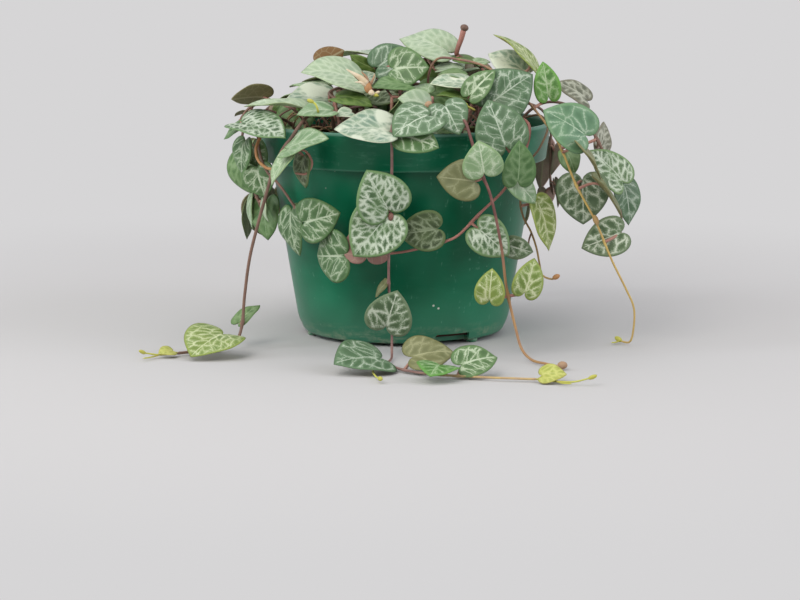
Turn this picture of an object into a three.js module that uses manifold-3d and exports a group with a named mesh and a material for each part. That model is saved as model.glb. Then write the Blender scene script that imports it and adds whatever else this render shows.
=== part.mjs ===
// Potted variegated string of hearts: a thin green plastic nursery pot, filled with fibrous
// soil, with a heap of heart-leaved stems over it and wiry vines that hang down its sides.
// Millimetres, +Z up. The origin is on the pot's axis, on the surface that the pot stands on,
// and -Y is the front.

import * as THREE from "three";
import { mergeVertices } from "three/addons/utils/BufferGeometryUtils.js";
import Module from "manifold-3d";

const wasm = await Module();
wasm.setup();

// Pot
const POT_HEIGHT = 76;
const RIM_RADIUS = 52.5;
const BAND_HEIGHT = 13.2;
const BAND_FOOT_RADIUS = 50.8;
const WALL_TOP_RADIUS = 47.2;
const WALL_FOOT_RADIUS = 37.8;
const BASE_RADIUS = 35.6;
const WALL_THICKNESS = 1.3;
const BASE_THICKNESS = 1.5;
const FOOT_HEIGHT = 1.2;
const FOOT_RADIUS = 2;
const NUB_SIDES = 8;
const FOOT_RING_RADIUS = 33.4;
const NOTCH_COUNT = 3;
const FIRST_NOTCH_TURN = 27;
const FOOT_TURN_FROM_NOTCH = 19;
const NOTCH_TOP = 4.3;
const NOTCH_WIDTH = 16;
const NOTCH_DEPTH = 10;
const NOTCH_SLANT = 2.5;
const FOOT_BEVEL = 1.2;
const FOOT_ROUND = 4.8;
const BAND_EDGE = 0.7;
const LIP_ROUND = 0.5;
const POT_SIDES = 36;

// Soil
const SOIL_TOP = 69.5;
const SOIL_HEAP = 1.5;
const SOIL_RINGS = [38, 24, 10];
const SOIL_SIDES = 24;
const SOIL_CLEARANCE = 0.45;
const HOLE_RADIUS = 1.55;
const HOLE_SIDES = 6;
const HOLE_BOTTOM = 58;

// Stems and leaves
const STEM_RADIUS = 0.85;
const STEM_SIDES = 3;
const STEM_STEP = 7;
const ROOT_BOTTOM = 60;
const STALK_RADIUS = 0.5;
const STALK_SIDES = 3;
const LONG_STALK = 8;
const STALK_SEAT = 0.14;
const STALK_DROP = 1.2;
const BLADE_EDGE = 0.6;
const BLADE_RIB = 1.5;
const BEAD_RADIUS = 1.6;

// Half a leaf's outline from the notch to the tip, as shares of the notch-to-tip length:
// along the midrib, and out to one side. The tip and the notch lie on the midrib.
const LEAF_HALF = [[-0.17, 0.25], [-0.02, 0.57], [0.43, 0.55], [0.81, 0.26]];
const LEAF_RIB = [0.26, 0.64];
const LEAF_FOLD = 0.12;
const LEAF_ARCH = 0.05;

const radians = THREE.MathUtils.degToRad;
const vec = (point) => new THREE.Vector3(...point);

function matte(color, roughness) {
  return new THREE.MeshStandardMaterial({ color, roughness, metalness: 0 });
}

const potPlastic = matte(0x1d5a44, 0.4);
const soilEarth = matte(0x33251c, 1);
const darkLeaf = matte(0x4e6248, 0.55);
const paleLeaf = matte(0x8d9c80, 0.55);

// A closed geometry as a solid that can be joined and cut.
function solidOf(geometry) {
  const bare = geometry.clone();
  bare.deleteAttribute("normal");
  bare.deleteAttribute("uv");
  const merged = mergeVertices(bare, 1e-4);
  const triangles = new Uint32Array(merged.index.array);
  const corners = new Float32Array(merged.attributes.position.array);
  return new wasm.Manifold(new wasm.Mesh({ numProp: 3, vertProperties: corners, triVerts: triangles }));
}

function meshOf(name, solid, material) {
  const { vertProperties, triVerts } = solid.getMesh();
  const geometry = new THREE.BufferGeometry();
  geometry.setAttribute("position", new THREE.BufferAttribute(vertProperties, 3));
  geometry.setIndex(new THREE.BufferAttribute(triVerts, 1));
  geometry.computeVertexNormals();
  const mesh = new THREE.Mesh(geometry, material);
  mesh.name = name;
  return mesh;
}

function joined(solids) {
  return solids.reduce((whole, piece) => whole.add(piece));
}

// A level direction, turned from the front towards the right, and then lifted.
function facing([turn, lift]) {
  const level = Math.cos(radians(lift));
  return new THREE.Vector3(
    Math.sin(radians(turn)) * level,
    -Math.cos(radians(turn)) * level,
    Math.sin(radians(lift)),
  );
}

function turned(profile, facets) {
  const points = profile.map(([radius, height]) => new THREE.Vector2(radius, height));
  return new THREE.LatheGeometry(points, facets).rotateX(Math.PI / 2);
}

function upright(radius, low, high, sides) {
  const rod = new THREE.CylinderGeometry(radius, radius, high - low, sides);
  return rod.rotateX(Math.PI / 2).translate(0, 0, (low + high) / 2);
}

function tube(curve, radius, sides, steps) {
  const section = new THREE.Shape();
  for (let side = 0; side < sides; side += 1) {
    const angle = (2 * Math.PI * side) / sides;
    const draw = side === 0 ? "moveTo" : "lineTo";
    section[draw](radius * Math.cos(angle), radius * Math.sin(angle));
  }
  section.closePath();
  return new THREE.ExtrudeGeometry(section, { steps, extrudePath: curve, bevelEnabled: false });
}

// The pot's wall is one skin: it steps out at the foot of the rim band, inside and outside.
const BAND_FOOT = POT_HEIGHT - BAND_HEIGHT;
const BASE_TOP = FOOT_HEIGHT + BASE_THICKNESS;

function potSolid() {
  const skin = WALL_THICKNESS;
  const outside = [
    [0, FOOT_HEIGHT],
    [BASE_RADIUS, FOOT_HEIGHT],
    [BASE_RADIUS + FOOT_BEVEL, FOOT_HEIGHT + FOOT_BEVEL],
    [WALL_FOOT_RADIUS, FOOT_HEIGHT + FOOT_ROUND],
    [WALL_TOP_RADIUS, BAND_FOOT],
    [BAND_FOOT_RADIUS, BAND_FOOT],
    [BAND_FOOT_RADIUS + BAND_EDGE / 2, BAND_FOOT + BAND_EDGE],
    [RIM_RADIUS - LIP_ROUND / 2, POT_HEIGHT - 2 * LIP_ROUND],
    [RIM_RADIUS, POT_HEIGHT - LIP_ROUND],
    [RIM_RADIUS - LIP_ROUND, POT_HEIGHT],
  ];
  const inside = [
    [RIM_RADIUS - skin, POT_HEIGHT],
    [RIM_RADIUS - skin - LIP_ROUND / 2, POT_HEIGHT - LIP_ROUND],
    [BAND_FOOT_RADIUS - skin + BAND_EDGE / 2, BAND_FOOT + skin],
    [WALL_TOP_RADIUS - skin, BAND_FOOT + skin],
    [WALL_FOOT_RADIUS - skin, FOOT_HEIGHT + FOOT_ROUND],
    [BASE_RADIUS - LIP_ROUND, BASE_TOP],
    [0, BASE_TOP],
  ];
  let pot = solidOf(turned([...outside, ...inside], POT_SIDES));
  for (let index = 0; index < NOTCH_COUNT; index += 1) {
    const turn = FIRST_NOTCH_TURN + (index * 360) / NOTCH_COUNT;
    pot = pot.subtract(notchCutter(turn));
    for (const side of [-1, 1]) {
      pot = pot.add(footNub(turn + side * FOOT_TURN_FROM_NOTCH));
    }
  }
  return pot;
}

// A drainage notch opens the foot of the wall and the base's edge. One of its ends slants.
function notchCutter(turn) {
  const half = NOTCH_WIDTH / 2;
  const outline = new THREE.Shape();
  outline.moveTo(-half, -1);
  outline.lineTo(half, -1);
  outline.lineTo(half - NOTCH_SLANT / 5, NOTCH_TOP);
  outline.lineTo(-half + NOTCH_SLANT, NOTCH_TOP);
  outline.closePath();
  const block = new THREE.ExtrudeGeometry(outline, { depth: NOTCH_DEPTH, bevelEnabled: false });
  block.rotateX(Math.PI / 2).translate(0, FOOT_ROUND - FOOT_BEVEL - BASE_RADIUS, 0).rotateZ(radians(turn));
  return solidOf(block);
}

function footNub(turn) {
  const centre = facing([turn, 0]).multiplyScalar(FOOT_RING_RADIUS);
  const nub = upright(FOOT_RADIUS, 0, FOOT_HEIGHT + BASE_THICKNESS / 2, NUB_SIDES);
  return solidOf(nub.translate(centre.x, centre.y, 0));
}

// The soil's lumps, broad and small, over a low heap that falls off towards the rim.
function soilLift(x, y) {
  const broad = Math.sin(x * 0.21 + 1.3) * Math.cos(y * 0.17 - 0.4);
  const small = 0.6 * Math.sin(x * 0.43 - y * 0.37);
  const heap = SOIL_HEAP * (1 - (x * x + y * y) / (RIM_RADIUS * RIM_RADIUS));
  return heap + broad + small;
}

// The soil fills the pot to just below the rim, and each stem has a plain hole.
function soilSolid(roots) {
  const skin = WALL_THICKNESS + SOIL_CLEARANCE;
  const top = SOIL_TOP - 1;
  const profile = [
    [0, BASE_TOP + SOIL_CLEARANCE],
    [BASE_RADIUS - FOOT_BEVEL, BASE_TOP + SOIL_CLEARANCE],
    [WALL_FOOT_RADIUS - skin, FOOT_HEIGHT + FOOT_ROUND + SOIL_CLEARANCE],
    [WALL_TOP_RADIUS - skin, BAND_FOOT + skin],
    [BAND_FOOT_RADIUS - skin + BAND_EDGE / 2, BAND_FOOT + skin + BAND_EDGE / 2],
    [BAND_FOOT_RADIUS - skin + BAND_EDGE / 2, top],
    ...SOIL_RINGS.map((radius) => [radius, SOIL_TOP]),
    [0, SOIL_TOP],
  ];
  const body = turned(profile, SOIL_SIDES);
  const corners = body.attributes.position;
  for (let index = 0; index < corners.count; index += 1) {
    if (corners.getZ(index) > top + 0.5) {
      corners.setZ(index, SOIL_TOP + soilLift(corners.getX(index), corners.getY(index)));
    }
  }
  let soil = solidOf(body);
  for (const [x, y] of roots) {
    const hole = upright(HOLE_RADIUS, HOLE_BOTTOM, POT_HEIGHT, HOLE_SIDES);
    soil = soil.subtract(solidOf(hole.translate(x, y, 0)));
  }
  return soil;
}

// A blade's height over its flat plane: a shallow fold along the midrib, and an arch from
// notch to tip that carries the lobes back.
function bladeRise(u, v) {
  return LEAF_FOLD * Math.abs(v) + LEAF_ARCH * 4 * u * (1 - u);
}

function bladeAxes({ notch, tip, face }) {
  const foot = vec(notch);
  const along = vec(tip).sub(foot);
  const length = along.length();
  along.normalize();
  const up = facing(face);
  up.addScaledVector(along, -up.dot(along)).normalize();
  return { foot, along, up, length };
}

// A heart-shaped blade from its notch to its tip, with the same triangles on both faces.
function bladeSolid(blade) {
  const { foot, along, up, length } = bladeAxes(blade);
  const across = new THREE.Vector3().crossVectors(up, along);
  const outline = [
    [0, 0],
    ...LEAF_HALF.map(([u, v]) => [u, -v]),
    [1, 0],
    ...LEAF_HALF.map(([u, v]) => [u, v]).reverse(),
  ];
  const flat = [...outline, ...LEAF_RIB.map((u) => [u, 0])];
  const corners = [];
  for (const side of [1, -1]) {
    flat.forEach(([u, v], index) => {
      const half = index < outline.length ? BLADE_EDGE / 2 : BLADE_RIB / 2;
      const corner = foot.clone()
        .addScaledVector(along, u * length)
        .addScaledVector(across, v * length * blade.broad)
        .addScaledVector(up, bladeRise(u, v) * length + side * half);
      corners.push(corner.x, corner.y, corner.z);
    });
  }
  const around = outline.length;
  const [nearRib, farRib] = [around, around + 1];
  const widest = LEAF_HALF.length - 1;
  const top = [[nearRib, widest, farRib], [farRib, around - widest, nearRib]];
  for (let index = 0; index < around; index += 1) {
    const next = (index + 1) % around;
    const far = index >= widest && next <= around - widest && next > 0;
    top.push([index, next, far ? farRib : nearRib]);
  }
  const under = flat.length;
  const faces = [];
  for (const [a, b, c] of top) {
    faces.push(a, b, c, under + a, under + c, under + b);
  }
  for (let index = 0; index < around; index += 1) {
    const next = (index + 1) % around;
    faces.push(index, under + index, under + next, index, under + next, next);
  }
  const geometry = new THREE.BufferGeometry();
  geometry.setAttribute("position", new THREE.BufferAttribute(new Float32Array(corners), 3));
  geometry.setIndex(faces);
  return solidOf(geometry);
}

function leaf(notch, tip, face, broad = 1) {
  return { notch, tip, face, broad };
}

// The point of the stems' centre lines that lies nearest to a place.
function nearestOnStems(stems, place) {
  let best = null;
  for (const points of stems) {
    for (let index = 1; index < points.length; index += 1) {
      const stretch = new THREE.Line3(points[index - 1], points[index]);
      const point = stretch.closestPointToPoint(place, true, new THREE.Vector3());
      if (best === null || point.distanceTo(place) < best.distanceTo(place)) {
        best = point;
      }
    }
  }
  return best;
}

// A leaf's stalk leaves the stem, comes up to the blade from below and ends well inside it.
// A long one bends on its way.
function stalkSolid(stems, blade) {
  const { foot, along, up, length } = bladeAxes(blade);
  const start = nearestOnStems(stems, foot);
  const end = foot.clone()
    .addScaledVector(along, STALK_SEAT * length)
    .addScaledVector(up, bladeRise(STALK_SEAT, 0) * length);
  const elbow = foot.clone().addScaledVector(up, -STALK_DROP);
  const long = start.distanceTo(end) > LONG_STALK;
  const curve = long ? new THREE.CatmullRomCurve3([start, elbow, end]) : new THREE.LineCurve3(start, end);
  return solidOf(tube(curve, STALK_RADIUS, STALK_SIDES, long ? 2 : 1));
}

// A vine or a tuft is one body: its stems, the leaves on their stalks, and its round tubers.
function vineSolid({ root, paths, leaves, beads }) {
  const curves = paths.map((path, index) => {
    const buried = [[...root, ROOT_BOTTOM], [...root, ROOT_BOTTOM + 6], [...root, ROOT_BOTTOM + 12]];
    const points = index === 0 ? [...buried, ...path] : path;
    return new THREE.CatmullRomCurve3(points.map(vec));
  });
  const pieces = [];
  const stems = [];
  for (const curve of curves) {
    const steps = Math.max(2, Math.round(curve.getLength() / STEM_STEP));
    stems.push(curve.getSpacedPoints(steps));
    pieces.push(solidOf(tube(curve, STEM_RADIUS, STEM_SIDES, steps)));
  }
  for (const one of leaves) {
    pieces.push(stalkSolid(stems, one));
    pieces.push(bladeSolid(one));
  }
  for (const place of beads) {
    const bead = new THREE.IcosahedronGeometry(BEAD_RADIUS, 0);
    pieces.push(solidOf(bead.translate(...place)));
  }
  return joined(pieces);
}

function vine(name, root, paths, leaves, beads = []) {
  return { name, root, paths, leaves, beads, material: darkLeaf };
}

function tuft(name, root, paths, leaves, beads = []) {
  return { name, root, paths, leaves, beads, material: paleLeaf };
}

// The vines that show from the front, from the soil over the rim and down, left to right.
const FRONT_VINES = [
  vine("vine_left_rim", [-34, -9], [
    [[-36, -10, 78], [-42, -12, 83], [-48, -15, 84], [-54, -19, 82], [-57, -22, 78]],
  ], [
    leaf([-55.5, -30, 78], [-40, -46, 73.5], [-20, 66], 0.62),
    leaf([-56.5, -27, 76.5], [-62.5, -25, 71.5], [-70, 40], 0.9),
    leaf([-54.5, -27, 77.5], [-48.5, -25, 81], [10, 70], 0.6),
    leaf([-55, -14, 80.5], [-59.5, -12, 78.5], [-120, 30]),
    leaf([-48, -6, 85], [-61, -7, 84], [180, 55]),
    leaf([-36, -30, 83.5], [-55.5, -27, 83], [0, 84], 0.5),
  ]),
  vine("vine_left_side", [-39, -2], [
    [[-42, -3, 77], [-49, -6, 80], [-55, -9, 77], [-57, -12, 70], [-56, -15, 62], [-54, -15, 55],
      [-51, -15, 49], [-49, -14, 43]],
  ], [
    leaf([-57.5, -6, 64.5], [-51, -10, 50], [-50, 0], 0.95),
    leaf([-55.5, -23, 70.5], [-56, -23, 58.5], [-55, 0], 0.85),
    leaf([-52.5, -20, 68.5], [-48, -23, 61.5], [-20, 0], 0.9),
    leaf([-51, -26, 61.5], [-48, -27, 51.5], [-15, 5]),
    leaf([-54, -5, 49], [-53.5, -7, 37.5], [-80, 0]),
    leaf([-49, -21, 49.5], [-47.5, -21, 42], [-75, 0]),
    leaf([-48.5, -12, 48.5], [-48, -13, 34.5], [-38, -8], 0.85),
  ]),
  vine("vine_left_wall", [-37, -17], [
    [[-40, -19, 77], [-46, -23, 79], [-50, -26, 76], [-50, -29, 68], [-47, -33, 61], [-43, -35, 57],
      [-37, -38, 49], [-32, -41, 43], [-27, -43, 40]],
  ], [
    leaf([-34, -45, 45], [-21.5, -50, 49], [-28, 0], 0.95),
    leaf([-39, -34, 47.5], [-36, -36, 32], [-60, 5], 0.9),
  ]),
  vine("vine_left_long", [-24, -24], [
    [[-25, -27, 80], [-29, -35, 83], [-34, -43, 80], [-39, -47, 73], [-44, -47, 65], [-46, -46, 58],
      [-50, -44, 44], [-53, -42, 32], [-55, -40, 18], [-56, -40, 8], [-58, -42, 3], [-63, -45, 1.2],
      [-70, -49, 1.1], [-78, -54, 1.1]],
  ], [
    leaf([-38.5, -53, 69], [-45, -51, 58.5], [-70, 20], 0.8),
    leaf([-34, -48, 68], [-33.5, -47, 57], [-50, 0], 0.75),
    leaf([-39, -51, 71], [-25, -57, 75], [0, 64], 0.9),
    leaf([-25, -41, 83], [-36.5, -44, 81.5], [-5, 73]),
    leaf([-18, -42, 82.5], [-23, -44, 81.5], [0, 60]),
    leaf([-62, -50, 7], [-72, -64, 1.5], [-20, 45]),
    leaf([-57, -37, 9], [-50, -30, 14], [-40, 20], 0.6),
    leaf([-79, -54.5, 2], [-83.5, -57.5, 1.5], [-10, 60]),
  ]),
  vine("vine_front_long", [-5, -38], [
    [[-5, -41, 77], [-4.5, -46, 79], [-4, -52, 79], [-4, -56.5, 75], [-4, -57, 63], [-5, -56, 50],
      [-5, -55, 37], [-5, -54, 24], [-4, -55, 11], [-4, -57, 4], [-4, -62, 1.2], [-5, -72, 1.1],
      [-2, -82, 1.1], [6, -91, 1.1], [17, -96, 1.1], [30, -99.5, 1.1], [44, -102, 1.1]],
  ], [
    leaf([-5, -55, 77.5], [-23.5, -55, 77.5], [-5, 65]),
    leaf([8.5, -52, 82.5], [-3.5, -60, 76], [-5, 56]),
    leaf([-0.5, -57, 76], [12, -61, 72], [5, 35], 0.8),
    leaf([-5, -59, 51], [-12.5, -61, 65], [0, 8]),
    leaf([-5.5, -57, 49], [-17, -57, 35], [-5, 0], 0.92),
    leaf([-6, -58, 11], [-2, -60, 24], [0, 5]),
    leaf([-6, -54, 25], [-9.5, -51, 20], [-70, 30], 0.8),
    leaf([-8, -80, 4], [-23, -90, 4], [-15, 58]),
    leaf([3, -83, 5], [17, -79, 6], [20, 60]),
    leaf([12, -95.5, 4.5], [8.5, -107.2, 3], [0, 62]),
    leaf([19, -93, 4], [31, -88, 6], [10, 55], 0.9),
    leaf([45, -102, 2.5], [53, -102.8, 3], [5, 60]),
  ]),
  vine("vine_right_long", [20, -36], [
    [[20, -40, 77], [20, -46, 80], [21, -52, 80], [23, -57, 74], [26, -59, 64], [29, -59, 57],
      [33, -58, 39], [35, -57, 24], [38, -58, 11], [40, -60, 4], [43, -66, 1.2], [48, -74, 1.1],
      [52, -79, 1.1]],
  ], [
    leaf([14, -44.5, 85], [19, -52.5, 75.5], [5, 30], 0.85),
    leaf([24, -60, 61], [11, -60, 62.5], [-10, 10], 0.92),
    leaf([27, -62, 64], [25, -63, 75], [0, 12], 1.05),
    leaf([29, -60, 20.5], [30, -60, 31.5], [-8, 0], 0.8),
    leaf([41, -59, 23], [44.5, -57, 34.5], [10, 0], 0.75),
    leaf([54, -79, 2], [59, -82, 2], [10, 60]),
  ]),
  vine("vine_across_front", [32, -26], [
    [[35, -29, 77], [40, -36, 80], [43, -41, 78], [42, -45, 71], [38, -48, 64], [35, -50, 58],
      [26, -51, 49], [18, -51, 41], [13, -51, 39], [-4, -49, 35], [-19, -47, 36]],
  ], [
    leaf([34.5, -53, 72], [28.5, -49, 87.5], [0, 25], 0.9),
    leaf([38.5, -55, 60.5], [39, -57, 74.5], [15, 5], 0.72),
    leaf([37, -52, 61], [45, -48, 52], [30, 0], 0.6),
    leaf([11.5, -53, 44], [-2, -51, 42], [5, -5], 0.88),
    leaf([25.5, -53, 44], [36, -52, 34.5], [0, 10], 0.82),
    leaf([36, -47, 37.5], [44.5, -46, 35], [5, -10], 0.8),
    leaf([-12.5, -52.5, 34], [-12, -52.5, 47], [180, 0], 1.05),
    leaf([-20.5, -51.5, 34.5], [-30, -41, 33], [-45, 0], 1.1),
  ]),
  vine("vine_right_wall", [37, -16], [
    [[40, -18, 77], [47, -24, 80], [50, -30, 77], [47, -36, 70], [42, -43, 64], [40, -44, 54],
      [41, -42, 47], [44, -40, 41], [46, -39, 35], [47, -38, 30], [48, -40, 26], [51, -42, 25],
      [52, -45, 26]],
  ], [
    leaf([46, -42, 51.5], [50, -41, 34.5], [50, 0], 0.6),
  ]),
  vine("vine_right_arc", [10, -10], [
    [[9, -12, 84], [9, -14, 94], [12, -16, 99], [19, -19, 99], [28, -23, 97], [36, -27, 92],
      [45, -33, 83], [53, -40, 72], [59, -43, 58], [66, -42, 45], [72, -40, 31], [77, -38, 21],
      [80, -36, 14], [80, -35, 6], [79, -33, 1.5], [76, -29, 1.1]],
  ], [
    leaf([50, -31, 87], [48, -29, 99], [0, 30], 0.65),
    leaf([62, -45, 75], [47.5, -44, 83.5], [10, 25], 0.88),
    leaf([61.5, -38, 59], [62, -39, 43.5], [0, 0]),
    leaf([75, -37, 40.5], [61.5, -37, 35], [0, 10], 0.8),
    leaf([59.5, -47, 72], [67.5, -47, 60], [85, 50], 0.8),
    leaf([66, -44, 59.5], [75, -44, 46], [85, 40], 0.8),
  ]),
  vine("vine_right_side", [41, -4], [
    [[43, -5, 78], [50, -8, 83], [59, -14, 82], [66, -19, 74], [71, -23, 64], [73, -25, 56],
      [76, -26, 45], [76, -27, 39]],
  ], [
    leaf([64, -18, 85], [53, -19, 91], [30, 50], 0.8),
    leaf([69, -14, 67.5], [71, -10, 76.5], [60, 10]),
    leaf([76, -30, 57.5], [64.5, -30, 68.5], [15, 35], 0.75),
    leaf([77, -22, 55.5], [79, -22, 41], [40, 0], 0.7),
    leaf([56.5, -26, 67.5], [59.5, -26, 59.5], [40, 0]),
  ]),
  vine("vine_right_back", [34, 18], [
    [[37, 20, 78], [44, 25, 80], [51, 28, 77], [54, 29, 70], [54, 28, 62], [54, 26, 52], [55, 25, 46]],
  ], [
    leaf([51.5, 31, 64.5], [50.5, 29, 47.5], [150, 0], 0.5),
    leaf([55.5, 27, 63.5], [54, 24, 53.5], [120, 0], 0.7),
    leaf([55.5, 22, 51.5], [56.5, 20, 42], [110, 0], 0.6),
    leaf([52.5, 26, 48], [52, 27, 41], [170, 0], 0.8),
  ]),
];

// The vines on the far side. Each leaves the soil, lies over the rim, and hangs along the wall
// with its leaves in pairs. One is long enough to lie along the surface.
const BACK_VINES = [
  { turn: 142, hang: 57, low: 30, run: 0 },
  { turn: 167, hang: 60, low: 44, run: 0 },
  { turn: 193, hang: 57, low: 3, run: 47 },
  { turn: 219, hang: 60, low: 24, run: 0 },
  { turn: 246, hang: 57, low: 38, run: 0 },
];
const BACK_ROOT_RADIUS = 38;
const FIRST_PAIR_HEIGHT = 64;
const PAIR_SPACING = 18.5;

// Repeatable draws between two values.
function dice(seed) {
  let state = seed;
  return (low, high) => {
    state = (Math.imul(state, 1664525) + 1013904223) >>> 0;
    return low + ((high - low) * state) / 4294967296;
  };
}

// A place by its turn from the front, its distance from the pot's axis, its sideways shift and
// its height.
function polar(turn, radius, shift, height) {
  const place = facing([turn, 0]).multiplyScalar(radius).addScaledVector(facing([turn + 90, 0]), shift);
  return [place.x, place.y, height];
}

function backVine({ turn, hang, low, run }, index) {
  const draw = dice(7 + index);
  const path = [
    polar(turn, BACK_ROOT_RADIUS + 3, 0, 77),
    polar(turn, 47, 0, 79.5),
    polar(turn, 53, 0, 79),
    polar(turn, hang, 0, 74),
  ];
  const leaves = [];
  let side = draw(-1.5, 1.5);
  for (let height = FIRST_PAIR_HEIGHT; height > low + 6; height -= PAIR_SPACING) {
    path.push(polar(turn, hang, side, height));
    for (const hand of [-1, 1]) {
      const reach = draw(3, 4);
      const size = draw(13, 16);
      const spread = draw(1, 4);
      leaves.push(leaf(
        polar(turn, hang + 2.5, side + hand * reach, height + draw(-2, 2)),
        polar(turn, hang + 3.5, side + hand * (reach + spread), Math.max(height - size, 3)),
        [turn + hand * draw(5, 25), draw(-5, 20)],
      ));
    }
    side += draw(-2, 2);
  }
  path.push(polar(turn, hang, side, low));
  if (run > 0) {
    path.push(polar(turn, hang + 5, side, 1.2));
    path.push(polar(turn, hang + run / 2, side - 3, 1.1));
    path.push(polar(turn, hang + run, side - 2, 1.1));
    for (const hand of [-1, 1]) {
      leaves.push(leaf(
        polar(turn, hang + run / 2, side - 3 + hand * 4, 4),
        polar(turn, hang + run / 2 + 9, side - 3 + hand * 14, 4),
        [turn, 60],
      ));
    }
    leaves.push(leaf(
      polar(turn, hang + run - 1, side, 3),
      polar(turn, hang + run + 6, side + 2, 2.5),
      [turn, 60],
    ));
  }
  return vine(`vine_back_${index + 1}`, polar(turn, BACK_ROOT_RADIUS, 0, 0).slice(0, 2), [path], leaves);
}

// The tufts that lie heaped over the soil.
const TUFTS = [
  tuft("crown_left", [-20, -4], [
    [[-20, -5, 80], [-22, -8, 88], [-26, -14, 87], [-24, -24, 86]],
    [[-21, -6.5, 84], [-24, -1, 94], [-28.5, 0, 96]],
    [[-21, -6.5, 84], [-28, 0, 84.5], [-33, 4, 82]],
  ], [
    leaf([-16, -22, 92], [-35.5, -26, 95.5], [-5, 66]),
    leaf([-29.5, 0, 96.5], [-21, 0, 101], [165, 0], 0.8),
    leaf([-11, -7, 95.5], [-19, -5, 99.5], [20, -40], 0.7),
    leaf([-22.5, -31, 87], [-10.5, -35, 84], [0, 76]),
    leaf([-25, -12, 84.5], [-41, -16, 85], [0, 68]),
    leaf([-26, -17, 81.5], [-38, -15.5, 82.5], [0, 72], 0.85),
    leaf([-31, 2, 85.5], [-46, 3, 82.5], [-95, 60], 0.95),
  ]),
  tuft("crown_middle", [0, -18], [
    [[0, -18, 80], [-2, -17, 90], [-5, -12, 95], [2, -2, 97], [10, 2, 98]],
    [[-2, -17, 90], [-6, -24, 90], [-4, -32, 87]],
    [[0, -18, 84], [6, -25, 87], [10, -34, 87]],
    [[-6, -24, 90], [-9, -29, 89], [-13, -32, 91], [-17.5, -33, 95]],
    [[0, -18, 84], [2, -8, 85], [3, 2, 84]],
  ], [
    leaf([-9, -14, 96], [2.5, -12, 102], [-10, 30], 0.9),
    leaf([-3.5, -22, 96], [9, -24, 96.5], [5, 20]),
    leaf([15.5, -2, 101], [-1.5, 3, 105], [0, 60], 0.85),
    leaf([12.5, -8, 94.5], [21.5, -8.5, 95], [0, 74], 0.8),
    leaf([1.5, -27, 90.5], [-11, -30, 90], [0, 74]),
    leaf([-15, -14, 90.5], [-9.5, -12, 93.5], [0, 45]),
    leaf([0, -33, 86.5], [-6.5, -37, 80], [50, -30], 0.6),
    leaf([8, -40.5, 85], [-2, -42.5, 87.5], [-5, 42], 0.85),
    leaf([8.5, -28, 88], [-0.5, -24, 88], [0, 68]),
    leaf([-3, 0, 86], [-15, 4, 84], [-40, 45], 0.95),
    leaf([8, -1, 85.5], [20, 2, 85], [40, 45], 0.95),
  ], [[10, -35, 86], [-12, -32, 91]]),
  tuft("crown_right", [26, -16], [
    [[26, -16, 80], [27, -17, 88], [30, -12, 93], [38, -8, 93]],
    [[26, -16, 84], [22, -26, 88], [24, -34, 86]],
    [[30, -12, 93], [26, -3, 96], [19, -1, 100], [21.5, -2, 109]],
  ], [
    leaf([21, -32, 86.5], [11, -33.5, 87.5], [0, 80], 0.85),
    leaf([22.5, -26, 90.5], [9, -27, 91], [0, 74]),
    leaf([23, -38, 88], [31.5, -35, 96.5], [-15, 25], 0.65),
    leaf([19, -3, 98], [29.5, -2, 95], [0, 80]),
    leaf([25.5, -4, 96.5], [31, -2, 97], [0, 70]),
    leaf([42.5, -6, 94], [30, -2, 100], [0, 62]),
    leaf([29, -37, 84.5], [44.5, -33, 95], [5, 25], 0.88),
    leaf([46, -9, 95.5], [32, -6, 107.5], [80, 45]),
    leaf([21, -18, 93], [12, -18, 93.5], [0, 76]),
  ]),
];

// The far half of the heap: leaves in rising rings on branches of one stem.
const BACK_TUFT_ROOT = [2, 16];
const BACK_TUFT_RINGS = [
  { radius: 35, height: 88, count: 7 },
  { radius: 26, height: 94, count: 4 },
  { radius: 18, height: 99, count: 3 },
];
const BACK_TUFT_SPREAD = 165;
const BACK_BRANCH_TURNS = [108, 145, 180, 215, 252];

function backTuft() {
  const draw = dice(3);
  const crest = [2, 17, 88];
  const paths = [[[2, 16, 80], crest, [2, 14, 95]]];
  const leaves = [];
  for (const { radius, height, count } of BACK_TUFT_RINGS) {
    for (let index = 0; index < count; index += 1) {
      const turn = 180 + (index - (count - 1) / 2) * (BACK_TUFT_SPREAD / count) + draw(-4, 4);
      const lift = height + draw(-1.5, 1.5);
      const size = draw(15, 18);
      leaves.push(leaf(
        polar(turn, radius - 5, 0, lift),
        polar(turn, radius - 5 + size, draw(-4, 4), lift - draw(1, 5)),
        [turn, 55],
      ));
    }
  }
  for (const turn of BACK_BRANCH_TURNS) {
    paths.push([crest, polar(turn, 24, 0, 86), polar(turn, 33, 0, 82)]);
  }
  return tuft("crown_back", BACK_TUFT_ROOT, paths, leaves);
}

const plants = [...FRONT_VINES, ...BACK_VINES.map(backVine), ...TUFTS, backTuft()];
const group = new THREE.Group();
group.add(meshOf("pot", potSolid(), potPlastic));
group.add(meshOf("soil", soilSolid(plants.map((plant) => plant.root)), soilEarth));
for (const plant of plants) {
  group.add(meshOf(plant.name, vineSolid(plant), plant.material));
}

export default group;
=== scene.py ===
"""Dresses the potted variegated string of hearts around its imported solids.

The solids give every stem, leaf and edge of the pot. Each is replaced here by a finer piece on
the same centre line, outline or profile. Lengths in the layout are millimetres in the part's own
frame: +Z up, -Y the front, and the origin on the pot's axis, on the surface it stands on.
"""

import logging
import math
from collections.abc import Callable
from dataclasses import dataclass, field
from enum import Enum
from functools import partial, reduce

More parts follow.
